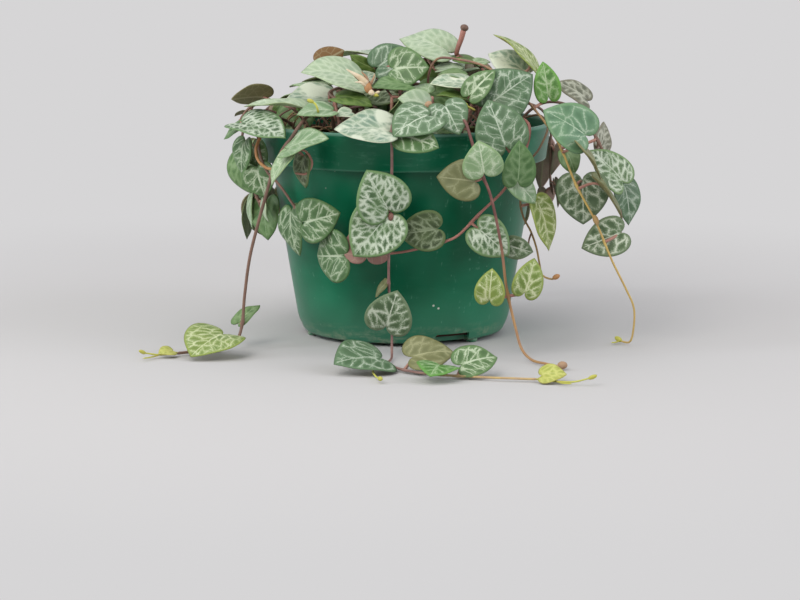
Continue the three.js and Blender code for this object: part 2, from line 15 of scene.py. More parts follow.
import bpy
import numpy as np
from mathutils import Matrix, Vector


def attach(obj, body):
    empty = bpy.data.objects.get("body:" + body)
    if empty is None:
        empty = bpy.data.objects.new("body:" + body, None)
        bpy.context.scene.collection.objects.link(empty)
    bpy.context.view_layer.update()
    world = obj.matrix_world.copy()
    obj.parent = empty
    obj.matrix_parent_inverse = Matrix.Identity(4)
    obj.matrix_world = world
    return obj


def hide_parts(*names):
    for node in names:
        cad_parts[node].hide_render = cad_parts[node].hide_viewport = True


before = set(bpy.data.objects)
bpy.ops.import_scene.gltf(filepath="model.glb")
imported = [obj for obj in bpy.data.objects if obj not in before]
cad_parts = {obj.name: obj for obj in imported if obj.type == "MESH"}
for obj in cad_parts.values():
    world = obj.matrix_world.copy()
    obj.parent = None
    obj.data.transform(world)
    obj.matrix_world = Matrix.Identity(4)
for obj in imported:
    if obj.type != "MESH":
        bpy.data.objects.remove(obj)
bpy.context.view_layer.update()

LOG = logging.getLogger("string_of_hearts")

Point = tuple[float, float, float]
# The least and the most of a draw, or the start and the end of a change.
Span = tuple[float, float]
Array = np.ndarray
Socket = bpy.types.NodeSocket

MM = 0.001
UP = np.array([0.0, 0.0, 1.0])
# The least gaps to the surface that the plant lies on: under a tube, and at a blade.
TUBE_GAP = 0.12
BLADE_GAP = 0.15
# A node that mixes colours has its share at input 0, the colours at 6 and 7, and gives output 2.
BLEND = {"data_type": "RGBA", "out": 2}
BORDERS = {"feature": "DISTANCE_TO_EDGE", "voronoi_dimensions": "2D"}
SMOOTH = {"interpolation_type": "SMOOTHSTEP"}


# Small shared tools

def linear(code: str) -> tuple[float, float, float, float]:
    """Turns an sRGB hex colour into linear light.

    Args:
        code: The colour as "#rrggbb".

    Returns:
        Red, green, blue and an alpha of 1.
    """
    shares = [int(code[start:start + 2], 16) / 255 for start in (1, 3, 5)]
    red, green, blue = (s / 12.92 if s <= 0.04045 else ((s + 0.055) / 1.055) ** 2.4 for s in shares)
    return (red, green, blue, 1.0)


def feed(node: bpy.types.Node, inputs: dict | list) -> None:
    """Sets a node's inputs.

    Args:
        node: The node.
        inputs: For each input, in order or by name or number, a value or the socket that feeds it.
    """
    pairs = inputs.items() if isinstance(inputs, dict) else enumerate(inputs)
    for name, value in pairs:
        if isinstance(value, Socket):
            node.id_data.links.new(value, node.inputs[name])
        else:
            node.inputs[name].default_value = value


def add_node(
    tree: bpy.types.NodeTree, kind: str, inputs: dict | list = (), out: str | int = 0, **settings: object
) -> Socket:
    """Adds one shader node with its settings and its links.

    Args:
        tree: The node tree that takes the node.
        kind: The node's type without its prefix, and its operation if it has one: "Math ADD".
        inputs: What its inputs hold, as for feed.
        out: The name or number of the output that is wanted.
        **settings: Properties of the node, such as interpolation_type="SMOOTHSTEP".

    Returns:
        That output.
    """
    kind, _, operation = kind.partition(" ")
    node = tree.nodes.new(f"ShaderNode{kind}")
    if operation:
        node.operation = operation
    for name, value in settings.items():
        setattr(node, name, value)
    feed(node, inputs)
    return node.outputs[out]


def product(add: Callable, ramps: list) -> Socket:
    """The share of a coat: ramps of a height or a noise, multiplied with each other.

    Args:
        add: Adds a node to the material.
        ramps: For each, what it follows, that one's start and end, and the ramp's own, 0 and 1
            if they are left out.

    Returns:
        The share.
    """
    sockets = [add("MapRange", ramp) for ramp in ramps]
    return reduce(lambda one, other: add("Math MULTIPLY", [one, other]), sockets)


def start_material(name: str) -> tuple[bpy.types.Material, Callable, bpy.types.Node]:
    """Starts a material.

    Args:
        name: The real material and what it is on.

    Returns:
        The material, a function that adds a node to it, and its main shader.
    """
    material = bpy.data.materials.new(name)
    material.use_nodes = True
    tree = material.node_tree
    return material, partial(add_node, tree), tree.nodes["Principled BSDF"]


def facing(turn: Array | float, lift: Array | float = 0.0) -> Array:
    """A unit direction: turned from the front towards the right, then lifted.

    Args:
        turn: Angle from the front, in degrees.
        lift: Angle above the level, in degrees.

    Returns:
        (sin turn cos lift, -cos turn cos lift, sin lift).
    """
    turn, lift = np.radians(turn), np.radians(lift)
    level = np.cos(lift)
    return np.stack(np.broadcast_arrays(np.sin(turn) * level, -np.cos(turn) * level, np.sin(lift)), -1)


def unit(vectors: Array) -> Array:
    """Scales each vector to a length of 1."""
    return vectors / np.maximum(np.linalg.norm(vectors, axis=-1, keepdims=True), 1e-12)


def round_angles(count: int) -> Array:
    """Even angles of a full turn, in radians, from 0."""
    return np.linspace(0, 2 * np.pi, count, endpoint=False)


def run_along(line: Array) -> Array:
    """How far along a line each of its points lies."""
    return np.concatenate([[0], np.cumsum(np.linalg.norm(np.diff(line, axis=0), axis=1))])


def pulled_in(places: Array, reach: float) -> Array:
    """The places, drawn level towards the axis where they lie further from it than the reach."""
    share = np.minimum(1, reach / np.maximum(np.hypot(places[..., 0], places[..., 1]), 1e-6))
    return places * np.stack([share, share, np.ones_like(share)], -1)


def lifted(line: Array, radii: Array) -> Array:
    """A tube's centre line, raised where the tube would come too near the surface below."""
    return np.column_stack([line[:, :2], np.maximum(line[:, 2], radii + TUBE_GAP)])


class Dice:
    """Repeatable draws between two values, the same ones that placed the far side's leaves."""

    def __init__(self, seed: int) -> None:
        """Starts the draws from a seed."""
        self.state = seed

    def draw(self, low: float, high: float) -> float:
        """The next draw: a linear congruential step, scaled to the span."""
        self.state = (self.state * 1664525 + 1013904223) % 2**32
        return low + (high - low) * self.state / 2**32


def smooth_path(points: Array, step: float, samples: int = 24) -> Array:
    """A centripetal Catmull-Rom curve through points, resampled at even steps.

    Each stretch is a cubic from one point to the next, whose end slopes come from the distances
    to the neighbours, each raised to the power one half. The ends mirror their last stretch.

    Args:
        points: The points to pass through, one row each.
        step: The spacing of the result, in the units of the points.
        samples: How many points of each cubic are worked out.

    Returns:
        The evenly spaced points, ends included.
    """
    first = 2 * points[0] - points[1]
    last = 2 * points[-1] - points[-2]
    knots = np.vstack([first, points, last])
    gaps = np.sqrt(np.linalg.norm(np.diff(knots, axis=0), axis=1))[:, None]
    before, here, after = gaps[:-2], gaps[1:-1], gaps[2:]
    start, end = knots[1:-2], knots[2:-1]
    slope_in = (start - knots[:-3]) / before - (end - knots[:-3]) / (before + here) + (end - start) / here
    slope_out = (end - start) / here - (knots[3:] - start) / (here + after) + (knots[3:] - end) / after
    slope_in, slope_out = slope_in * here, slope_out * here
    t = np.linspace(0, 1, samples, endpoint=False)[:, None, None]
    cubic = 2 * start - 2 * end + slope_in + slope_out
    square = -3 * start + 3 * end - 2 * slope_in - slope_out
    fine = start + slope_in * t + square * t**2 + cubic * t**3
    fine = np.vstack([fine.transpose(1, 0, 2).reshape(-1, points.shape[1]), points[-1:]])
    run = run_along(fine)
    even = np.linspace(0, run[-1], max(3, round(run[-1] / step) + 1))
    return np.stack([np.interp(even, run, column) for column in fine.T], axis=1)


def waves(places: Array, lengths: Span, count: int, seed: int) -> Array:
    """Smooth seeded roughness: a sum of sine waves of random direction, length and phase.

    Args:
        places: Points, one row each, in millimetres.
        lengths: The shortest and longest wave, in millimetres.
        count: How many waves are summed.
        seed: The seed of the draws.

    Returns:
        One height for each point, about -1 to 1.
    """
    rng = np.random.default_rng(seed)
    directions = unit(rng.normal(size=(count, places.shape[-1])))
    pitch = rng.uniform(*lengths, count)
    phase = rng.uniform(0, 2 * np.pi, count)
    share = pitch / pitch.sum()
    return (np.sin(places @ (directions * (2 * np.pi / pitch)[:, None]).T + phase) * share).sum(-1) * 2


class Shells:
    """Gathers closed surfaces, each a grid of rows that run round, into one mesh."""

    def __init__(self) -> None:
        """Starts with no surface."""
        self.count = 0
        self.points: list[Array] = []
        self.marks: dict[str, list[Array]] = {}
        self.faces: list[list[int]] = []
        self.slots: list[Array] = []
        self.maps: list[Array] = []

    def add(
        self, rows: Array, slots: Array | int = 0, marks: dict[str, Array | float] | None = None,
        flat: Array | None = None,
    ) -> None:
        """Adds one shell, closed round each row and by a point at both ends, facing outwards.

        The four corners of a face are neighbours in the grid, and the fans at the ends join
        the first and last rows to their middles. The sign of the enclosed volume, a sum of
        determinants, says whether the faces have to be turned.

        Args:
            rows: Points in millimetres, as rows x columns x 3.
            slots: Material slot of each band of faces, or one for all.
            marks: Values for each grid point, by the name of the attribute.
            flat: Map coordinates of each grid point, as rows x columns x 2.
        """
        deep, wide, _ = rows.shape
        index = self.count + np.arange(deep * wide).reshape(deep, wide)
        beside = np.roll(index, -1, axis=1)
        start, end = self.count + deep * wide, self.count + deep * wide + 1
        ends = np.stack([rows[0].mean(0), rows[-1].mean(0)])
        points = np.vstack([rows.reshape(-1, 3), ends])
        quads = np.stack([index[:-1], beside[:-1], beside[1:], index[1:]], -1).reshape(-1, 4)
        low = np.stack([beside[0], index[0], np.full(wide, start)], -1)
        high = np.stack([index[-1], beside[-1], np.full(wide, end)], -1)
        triangles = np.vstack([low, high, quads[:, [0, 1, 2]], quads[:, [0, 2, 3]]])
        corners = points[triangles - self.count] - ends[0]
        if np.linalg.det(corners).sum() < 0:
            quads, low, high = quads[:, ::-1], low[:, ::-1], high[:, ::-1]
        self.faces += quads.tolist() + low.tolist() + high.tolist()
        bands = np.broadcast_to(np.asarray(slots), (deep - 1,))
        self.slots += [np.repeat(bands, wide), np.repeat(bands[[0, -1]], wide)]
        self.points.append(points)
        for name, values in (marks or {}).items():
            values = np.broadcast_to(values, (deep, wide))
            tips = [values[0].mean(), values[-1].mean()]
            self.marks.setdefault(name, []).append(np.concatenate([values.ravel(), tips]))
        if flat is not None:
            self.maps.append(np.vstack([flat.reshape(-1, 2), flat[0].mean(0), flat[-1].mean(0)]))
        self.count += len(points)

    def build(self, name: str, finishes: list[bpy.types.Material]) -> bpy.types.Object:
        """Makes the gathered shells one object, with its place in its mesh.

        Args:
            name: The piece's name.
            finishes: The materials, in the order of the slots.

        Returns:
            The object, linked to the scene.
        """
        mesh = bpy.data.meshes.new(name)
        mesh.from_pydata((np.vstack(self.points) * MM).tolist(), [], self.faces)
        mesh.polygons.foreach_set("material_index", np.concatenate(self.slots).astype(np.int32))
        mesh.polygons.foreach_set("use_smooth", np.ones(len(self.faces), dtype=bool))
        for mark, values in self.marks.items():
            layer = mesh.attributes.new(mark, "FLOAT", "POINT")
            layer.data.foreach_set("value", np.concatenate(values).astype(np.float32))
        if self.maps:
            corner = np.empty(len(mesh.loops), dtype=np.int32)
            mesh.loops.foreach_get("vertex_index", corner)
            flat = np.vstack(self.maps)[corner].astype(np.float32)
            mesh.uv_layers.new(name="blade").data.foreach_set("uv", flat.ravel())
        for finish in finishes:
            mesh.materials.append(finish)
        mesh.update()
        piece = bpy.data.objects.new(name, mesh)
        bpy.context.scene.collection.objects.link(piece)
        return piece


def tube(path: Array, radii: Array, sides: int) -> Array:
    """A round section carried along a path.

    Each section is the path's point plus the radius times cos and sin of even angles along two
    directions across the path. They come from the direction that the path runs along least.

    Args:
        path: The centre line's points.
        radii: The radius at each of them.
        sides: How many points go round.

    Returns:
        Points as path x sides x 3.
    """
    along = unit(np.gradient(path, axis=0))
    _, directions = np.linalg.eigh(along.T @ along)
    across = unit(directions[:, 0] - (along @ directions[:, 0])[:, None] * along)
    upward = np.cross(along, across)
    angles = round_angles(sides)
    ring = across[:, None] * np.cos(angles)[:, None] + upward[:, None] * np.sin(angles)[:, None]
    return path[:, None] + radii[:, None, None] * ring


def ellipsoid(
    centre: Array | Point, axis: Array | Point, half: float, radius: float, rows: int, sides: int
) -> Array:
    """A bead: circles whose radius follows the sine, along an axis by the cosine.

    Args:
        centre: Its middle.
        axis: Its long direction.
        half: Half its length.
        radius: Its widest radius.
        rows: How many circles.
        sides: How many points go round.

    Returns:
        Points as rows x sides x 3.
    """
    angles = np.linspace(0, np.pi, rows + 2)[1:-1]
    path = np.asarray(centre) - np.cos(angles)[:, None] * unit(np.asarray(axis, float)) * half
    return tube(path, radius * np.sin(angles), sides)


def finish_piece(piece: bpy.types.Object, slot: str, node: str) -> None:
    """Lets a piece ride on the part and stand for its node, and reports it.

    Args:
        piece: The piece.
        slot: The material slot of the record; it is not used.
        node: The CAD node that it replaces.
    """
    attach(piece, "root")
    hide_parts(node)
    LOG.info("%s: %d faces", piece.name, len(piece.data.polygons))


# Finishes

@dataclass(frozen=True)
class LeafFinish:
    """Living leaf under a thin wax cuticle: satin, with a pale net over darker cells.

    The web's haze ends at web_share from a cell's border, softly by web_soft, both in cells, and
    drift is how much that varies over the blade. Names that end in _mm are real lengths.
    """

    cell: str
    deep: str
    web: str
    margin: str
    under: str
    cell_mm: float
    web_share: float
    web_soft: float
    web_strength: float = 1.0
    haze: float = 0.6
    rib_mm: float = 0.45
    drift: float = 0.05
    side_veins: float = 0.0
    vein_mm: float = 3.8
    margin_mm: float = 1.1
    patch: str = ""

    def net(self, add: Callable, blade: Socket) -> tuple[Socket, ...]:
        """The pale net, as shares of 0 to 1.

        It is where the distance to the borders of Voronoi cells is small. The cells lie on the
        blade's own map, in millimetres, bent a little by noise. The midrib and curved side
        veins join it, and it fades out before the margin.

        Args:
            add: Adds a node to the material.
            blade: The blade's map.

        Returns:
            The net, how far inside the margin a point is, how deep inside a cell, and a slow
            cloud over the whole blade.
        """
        names = ("across", "share", "margin")
        across, share, rim = (add("Attribute", attribute_name=name, out="Fac") for name in names)
        # The net bends over about 2 mm, frays over 0.5 mm, and thickens or thins over 5 mm.
        bend = add("TexNoise", {"Vector": blade, "Scale": 0.5, "Detail": 2.0}, "Color")
        drift = add("VectorMath MULTIPLY_ADD", [bend, (1.5, 1.5, 0.0), blade])
        fray = add("TexNoise", {"Vector": blade, "Scale": 2.1, "Detail": 4.0, "Roughness": 0.75}, "Fac")
        ragged = add("Math SUBTRACT", [fray, 0.5])
        slow = add("TexNoise", {"Vector": blade, "Scale": 0.21, "Detail": 1.0}, "Fac")
        # The side veins leave the midrib at a slant, and the cells lie between them.
        reach = add("Math ABSOLUTE", [add("Math MULTIPLY_ADD", [ragged, 0.7, across])])
        along, sway = (add("SeparateXYZ", [drift], axis) for axis in "XY")
        slant = add("Math MULTIPLY_ADD", [add("Math POWER", [reach, 0.9]), -0.75, along])
        sheared = add("CombineXYZ", [slant, add("Math MULTIPLY", [sway, 0.85]), 0.0])
        cells, small = (
            add("TexVoronoi", {"Vector": where, "Scale": scale, "Randomness": chance}, "Distance", **BORDERS)
            for where, scale, chance in ((sheared, 1 / self.cell_mm, 0.88), (drift, 3.1 / self.cell_mm, 1.0))
        )
        # Thin lines on the borders, finer twigs beside them, and a soft haze round both.
        wide = add("MapRange", [slow, 0.35, 0.65, -self.drift, self.drift])
        off = add("Math MULTIPLY_ADD", [ragged, 0.45, add("Math SUBTRACT", [cells, wide])])
        low, high = self.web_share - self.web_soft, self.web_share + self.web_soft
        haze = add("MapRange", [off, low, high, self.haze, 0.0], **SMOOTH)
        lines = add("MapRange", [off, 0.02, 0.075, 1.0, 0.0])
        twigs = product(add, [[small, 0.02, 0.17, 1.25, 0.0], [off, low, high + 0.13, self.haze + 0.15, 0.0]])
        web = add("Math MAXIMUM", [add("Math MAXIMUM", [lines, twigs]), haze])
        width = add("Math MULTIPLY_ADD", [share, -0.7 * self.rib_mm, self.rib_mm])
        core = add("Math MULTIPLY", [width, 0.35])
        rib = add("MapRange", [reach, core, width, 1.0, 0.0], **SMOOTH)
        pitch = add("Math MULTIPLY", [slant, 1 / self.vein_mm])
        phase = add("Math PINGPONG", [pitch, 0.5])
        loops = add("MapRange", [phase, 0.02, 0.085, self.side_veins, 0.0])
        veins = add("Math MAXIMUM", [rib, loops])
        shaken = add("Math MULTIPLY_ADD", [ragged, 1.5, rim])
        inside = add("MapRange", [shaken, 0.55 * self.margin_mm, 1.15 * self.margin_mm])
        web = add("Math MULTIPLY", [add("Math MULTIPLY", [web, self.web_strength]), inside])
        shown = add("MapRange", [rim, 0.3 * self.margin_mm, 1.3 * self.margin_mm])
        net = add("Math MAXIMUM", [web, add("Math MULTIPLY", [veins, shown])], use_clamp=True)
        middle = add("Math MULTIPLY_ADD", [fray, 0.22, cells])
        depth = add("MapRange", [middle, 0.2, 0.5], **SMOOTH)
        cloud = add("TexNoise", {"Vector": blade, "Scale": 0.16, "Detail": 2.0}, "Fac")
        return net, inside, depth, cloud

    def build(self, name: str) -> bpy.types.Material:
        """Builds the upper side.

        Args:
            name: The look's name, for the material's.

        Returns:
            The material: dark cells, the net over them, a plain border and worn patches.
        """
        material, add, shader = start_material(f"waxy leaf, {name}")
        cell, deep, web, margin = map(linear, (self.cell, self.deep, self.web, self.margin))
        blade = add("UVMap", uv_map="blade")
        net, inside, depth, cloud = self.net(add, blade)
        ground = add("Mix", {0: depth, 6: cell, 7: deep}, **BLEND)
        clouded = add("MapRange", [cloud, 0.35, 0.7, 0.0, 0.45])
        ground = add("Mix", {0: clouded, 6: ground, 7: margin}, **BLEND)
        ground = add("Mix", {0: inside, 6: margin, 7: ground}, **BLEND)
        pale = add("Mix", {0: add("Math MULTIPLY", [cloud, 0.55]), 6: web, 7: margin}, **BLEND)
        colour = add("Mix", {0: net, 6: ground, 7: pale}, **BLEND)
        if self.patch:
            # Cream patches about 9 mm wide, and a cream border of under 1 mm.
            wear = add("TexNoise", {"Vector": blade, "Scale": 0.11, "Detail": 3.0}, "Fac")
            patches_and_painted_highlight = add("MapRange", [wear, 0.52, 0.60])
            rim = add("Attribute", attribute_name="margin", out="Fac")
            edge = add("MapRange", [rim, 0.0, 0.8, 0.75, 0.0])
            share = add("Math MAXIMUM", [patches_and_painted_highlight, edge])
            colour = add("Mix", {0: share, 6: colour, 7: linear(self.patch)}, **BLEND)
        # Each leaf's tone shifts its hue and its lightness a little.
        tone = add("Attribute", attribute_name="tone", out="Fac")
        hue = add("Math MULTIPLY_ADD", [tone, -0.02, 0.51])
        value = add("Math MULTIPLY_ADD", [tone, 0.26, 0.87])
        toned = add("HueSaturation", {"Hue": hue, "Value": value, "Color": colour})
        grain = add("TexNoise", {"Vector": blade, "Scale": 1.2, "Detail": 3.0}, "Fac")
        relief = add("Math MULTIPLY_ADD", [net, -1.2, grain])
        bump = add("Bump", {"Strength": 0.5, "Distance": 0.06 * MM, "Height": relief})
        rough = add("Math MULTIPLY_ADD", [net, 0.10, 0.42])
        feed(shader, {
            "Base Color": toned, "Normal": bump, "Roughness": rough,
            "IOR": 1.42, "Specular IOR Level": 0.42,
        })
        return material

    def build_under(self, name: str) -> bpy.types.Material:
        """Builds the under side.

        Args:
            name: The look's name, for the material's.

        Returns:
            The material: paler and duller, with faint veins and blotches.
        """
        material, add, shader = start_material(f"leaf underside, {name}")
        blade = add("UVMap", uv_map="blade")
        # Blotches and cells are both about 3 mm wide.
        blotch = add("TexNoise", {"Vector": blade, "Scale": 0.35, "Detail": 4.0}, "Fac")
        cells = add("TexVoronoi", {"Vector": blade, "Scale": 0.36, "Randomness": 0.9}, "Distance", **BORDERS)
        net = add("MapRange", [cells, 0.0, 0.08, 0.25, 0.0])
        reach = add("Math ABSOLUTE", [add("Attribute", attribute_name="across", out="Fac")])
        rib = add("MapRange", [reach, 0.15, 0.5, 0.5, 0.0])
        veins = add("Math MAXIMUM", [rib, net])
        share = add("MapRange", [blotch, 0.3, 0.8, 0.0, 0.5])
        mottled = add("Mix", {0: share, 6: linear(self.under), 7: linear(self.margin)}, **BLEND)
        colour = add("Mix", {0: veins, 6: mottled, 7: linear("#b9b391")}, **BLEND)
        bump = add("Bump", {"Strength": 0.4, "Distance": 0.1 * MM, "Height": blotch})
        feed(shader, {"Base Color": colour, "Normal": bump, "Roughness": 0.58, "Specular IOR Level": 0.3})
        return material


class Look(Enum):
    """How a leaf is coloured: its finish on both sides."""

    # Dark feathery cells in a thick silvery web.
    SILVER_WEB = LeafFinish(
        "#6a8461", "#445d3d", "#d5dece", "#718f5f", "#8f8468", 2.35, 0.14, 0.12,
        drift=0.11, haze=0.72, rib_mm=0.3,
    )
    # Larger dark cells in pale lines.
    BOLD_WEB = LeafFinish(
        "#637a58", "#445a3c", "#d3dcc9", "#6b7d5e", "#857a5d", 3.4, 0.09, 0.08, drift=0.07, haze=0.55,
    )
    # Green with thin, sparse pale lines.
    FINE_WEB = LeafFinish(
        "#5f7a5c", "#4b6648", "#c6d3c0", "#5c7857", "#8a8062", 4.2, 0.03, 0.05,
        web_strength=0.85, side_veins=0.35, haze=0.4,
    )
    # Mid green with a pale midrib and looping side veins.
    RIBBED = LeafFinish(
        "#5b784e", "#46633c", "#c6d3b8", "#5a7a4b", "#8d8a63", 3.8, 0.04, 0.06,
        web_strength=0.85, rib_mm=0.65, side_veins=0.75, haze=0.45,
    )
    # Olive-dark cells in a grey web.
    DUSKY = LeafFinish(
        "#4f5e3f", "#36432a", "#a0ac90", "#627449", "#7d7257", 2.7, 0.10, 0.09, web_strength=0.85, drift=0.08,
    )
    # Pale silver-green all over.
    SILVERY = LeafFinish(
        "#a0b296", "#8da286", "#c9d3c0", "#9fb38e", "#9fae83", 3.0, 0.14, 0.20,
        web_strength=0.55, rib_mm=0.3, margin_mm=0.7, haze=0.4,
    )
    # Silver-green with cream patches and border.
    CREAM = LeafFinish(
        "#8aa18a", "#6d8a76", "#cbd4c4", "#a6b493", "#a5ae86", 3.1, 0.11, 0.09,
        web_strength=0.85, margin_mm=0.8, patch="#d1d9c4",
    )
    # Light green with pale veins.
    LIGHT = LeafFinish(
        "#8ba580", "#76926c", "#c9d5bc", "#84a072", "#9aa476", 4.4, 0.05, 0.06,
        web_strength=0.8, side_veins=0.4, margin_mm=0.8,
    )
    # Plain green, faintly netted.
    PLAIN = LeafFinish(
        "#6a8758", "#4b6b3d", "#93a982", "#5d7d4b", "#8f9468", 3.4, 0.03, 0.05,
        web_strength=0.45, rib_mm=0.35,
    )
    # Smooth blue-green with a few thread-thin veins.
    NETTED = LeafFinish(
        "#64866a", "#527458", "#b2c6ae", "#6a8e68", "#8a8f68", 4.6, 0.01, 0.03,
        web_strength=0.75, rib_mm=0.3, haze=0.25, drift=0.02, margin_mm=1.3,
    )
    # Plain grass green.
    GRASSY = LeafFinish(
        "#5d7639", "#44602a", "#8fa469", "#5c7836", "#7b8a45", 3.4, 0.03, 0.05,
        web_strength=0.3, rib_mm=0.3, margin_mm=0.6,
    )
    # Yellow-green with a pale web.
    FRESH = LeafFinish(
        "#7f9451", "#667d3c", "#d3d9b4", "#8a9a4c", "#99924f", 3.2, 0.08, 0.08,
        rib_mm=0.5, side_veins=0.4, margin_mm=0.9,
    )
    # Soft yellow-green.
    YOUNG = LeafFinish(
        "#a3ad58", "#8d9a48", "#c3c884", "#a5a555", "#a79c5a", 2.4, 0.08, 0.08,
        web_strength=0.5, rib_mm=0.25, margin_mm=0.4,
    )
    # Bright green with a light web.
    BRIGHT = LeafFinish(
        "#67914e", "#4e763a", "#b9cba6", "#6a9a48", "#7b9a4f", 3.2, 0.09, 0.08, web_strength=0.9,
    )
    # Brownish grey, marbled.
    MARBLED = LeafFinish("#7a7d6c", "#5f6454", "#bcc0af", "#777562", "#8b7c66", 3.0, 0.12, 0.10, drift=0.1)
    # Dark mauve; its colours, most of all the underside's, are painted lighter to make up for the shade these
    # leaves hang in.
    MAUVE = LeafFinish(
        "#857c68", "#6c6352", "#a8a28c", "#7d7058", "#b3938a", 3.4, 0.05, 0.06, web_strength=0.6,
    )
    # Olive, as seen from below.
    OLIVE = LeafFinish(
        "#767a56", "#666b48", "#a9ab86", "#74764e", "#7c7650", 4.0, 0.03, 0.05, web_strength=0.5,
    )
    # Olive with a red-brown underside.
    RUSTY = LeafFinish(
        "#767a56", "#666b48", "#a9ab86", "#7a6440", "#75552f", 4.0, 0.03, 0.05, web_strength=0.5,
    )
    # Pinkish brown, as seen from below.
    PINK = LeafFinish(
        "#8f6e63", "#7c5b53", "#b49a8b", "#8c6a5e", "#96736a", 3.8, 0.03, 0.05, web_strength=0.4,
    )


@dataclass(frozen=True)
class StemFinish:
    """Wiry living stem: thin bark-like skin, dull, which changes colour between two ages."""

    root: str
    tip: str
    blush: str
    shift: Span = (0.2, 0.8)

    def build(self, name: str) -> bpy.types.Material:
        """Builds the stem's material.

        Args:
            name: The skin's name, for the material's.

        Returns:
            The material: root to tip by the stem's own mark, blotched by noise.
        """
        material, add, shader = start_material(f"wiry stem skin, {name}")
        place = add("TexCoord", out="Object")
        age = add("Attribute", attribute_name="age", out="Fac")
        # Blotches about 4 mm long, and a grain of about 0.4 mm.
        blotch = add("TexNoise", {"Vector": place, "Scale": 250.0, "Detail": 3.0}, "Fac")
        fine = add("TexNoise", {"Vector": place, "Scale": 2500.0, "Detail": 2.0}, "Fac")
        late = add("MapRange", [age, *self.shift], **SMOOTH)
        aged = add("Mix", {0: late, 6: linear(self.root), 7: linear(self.tip)}, **BLEND)
        share = add("MapRange", [blotch, 0.4, 0.7, 0.0, 0.65])
        skin = add("Mix", {0: share, 6: aged, 7: linear(self.blush)}, **BLEND)
        bump = add("Bump", {"Strength": 0.5, "Distance": 0.1 * MM, "Height": fine})
        feed(shader, {"Base Color": skin, "Normal": bump, "Roughness": 0.55, "Specular IOR Level": 0.35})
        return material


class Skin(Enum):
    """How a stem, a bud or a tuber is coloured: towards its root, towards its tip, and blushed."""

    MAUVE = StemFinish("#7d5f5a", "#8f726b", "#a3827a")
    PLUM = StemFinish("#7d5f5a", "#c2a972", "#a3827a", (0.76, 0.9))
    COPPER = StemFinish("#6b4742", "#b08a5c", "#936a60", (0.52, 0.68))
    STALK = StemFinish("#94655a", "#a3766a", "#b58d7c")
    SHOOT = StemFinish("#a8a04c", "#c3c45a", "#b5b54a")
    ORANGE = StemFinish("#a9794f", "#b98b5c", "#96694a")
    CREAM = StemFinish("#d8c8ab", "#ece2cb", "#b99a72")
    BROWN = StemFinish("#5a453b", "#7a6053", "#8a6b5d")
    PINK = StemFinish("#8a5a50", "#a46f64", "#b5857a")
    RED = StemFinish("#6b4742", "#80594f", "#936a60")
    STRAW = StemFinish("#84625a", "#c9ad66", "#b3925f", (0.42, 0.58))
    TAN = StemFinish("#6b5642", "#a98c58", "#7f6a4c", (0.55, 0.9))
    TUBER = StemFinish("#8d6a55", "#a58466", "#b89b7c")
    DRY = StemFinish("#6e5240", "#8d6f55", "#a98d6f")


Dyes = dict[Skin | tuple[Look, str], bpy.types.Material]


def dyes() -> Dyes:
    """Builds the materials of all plants.

    Returns:
        The materials, by a stem's skin, or by a leaf's look and side.
    """
    built = {skin: skin.value.build(skin.name.lower()) for skin in Skin}
    for look in Look:
        label = look.name.lower().replace("_", " ")
        built[look, "upper"] = look.value.build(label)
        built[look, "under"] = look.value.build_under(label)
    return built


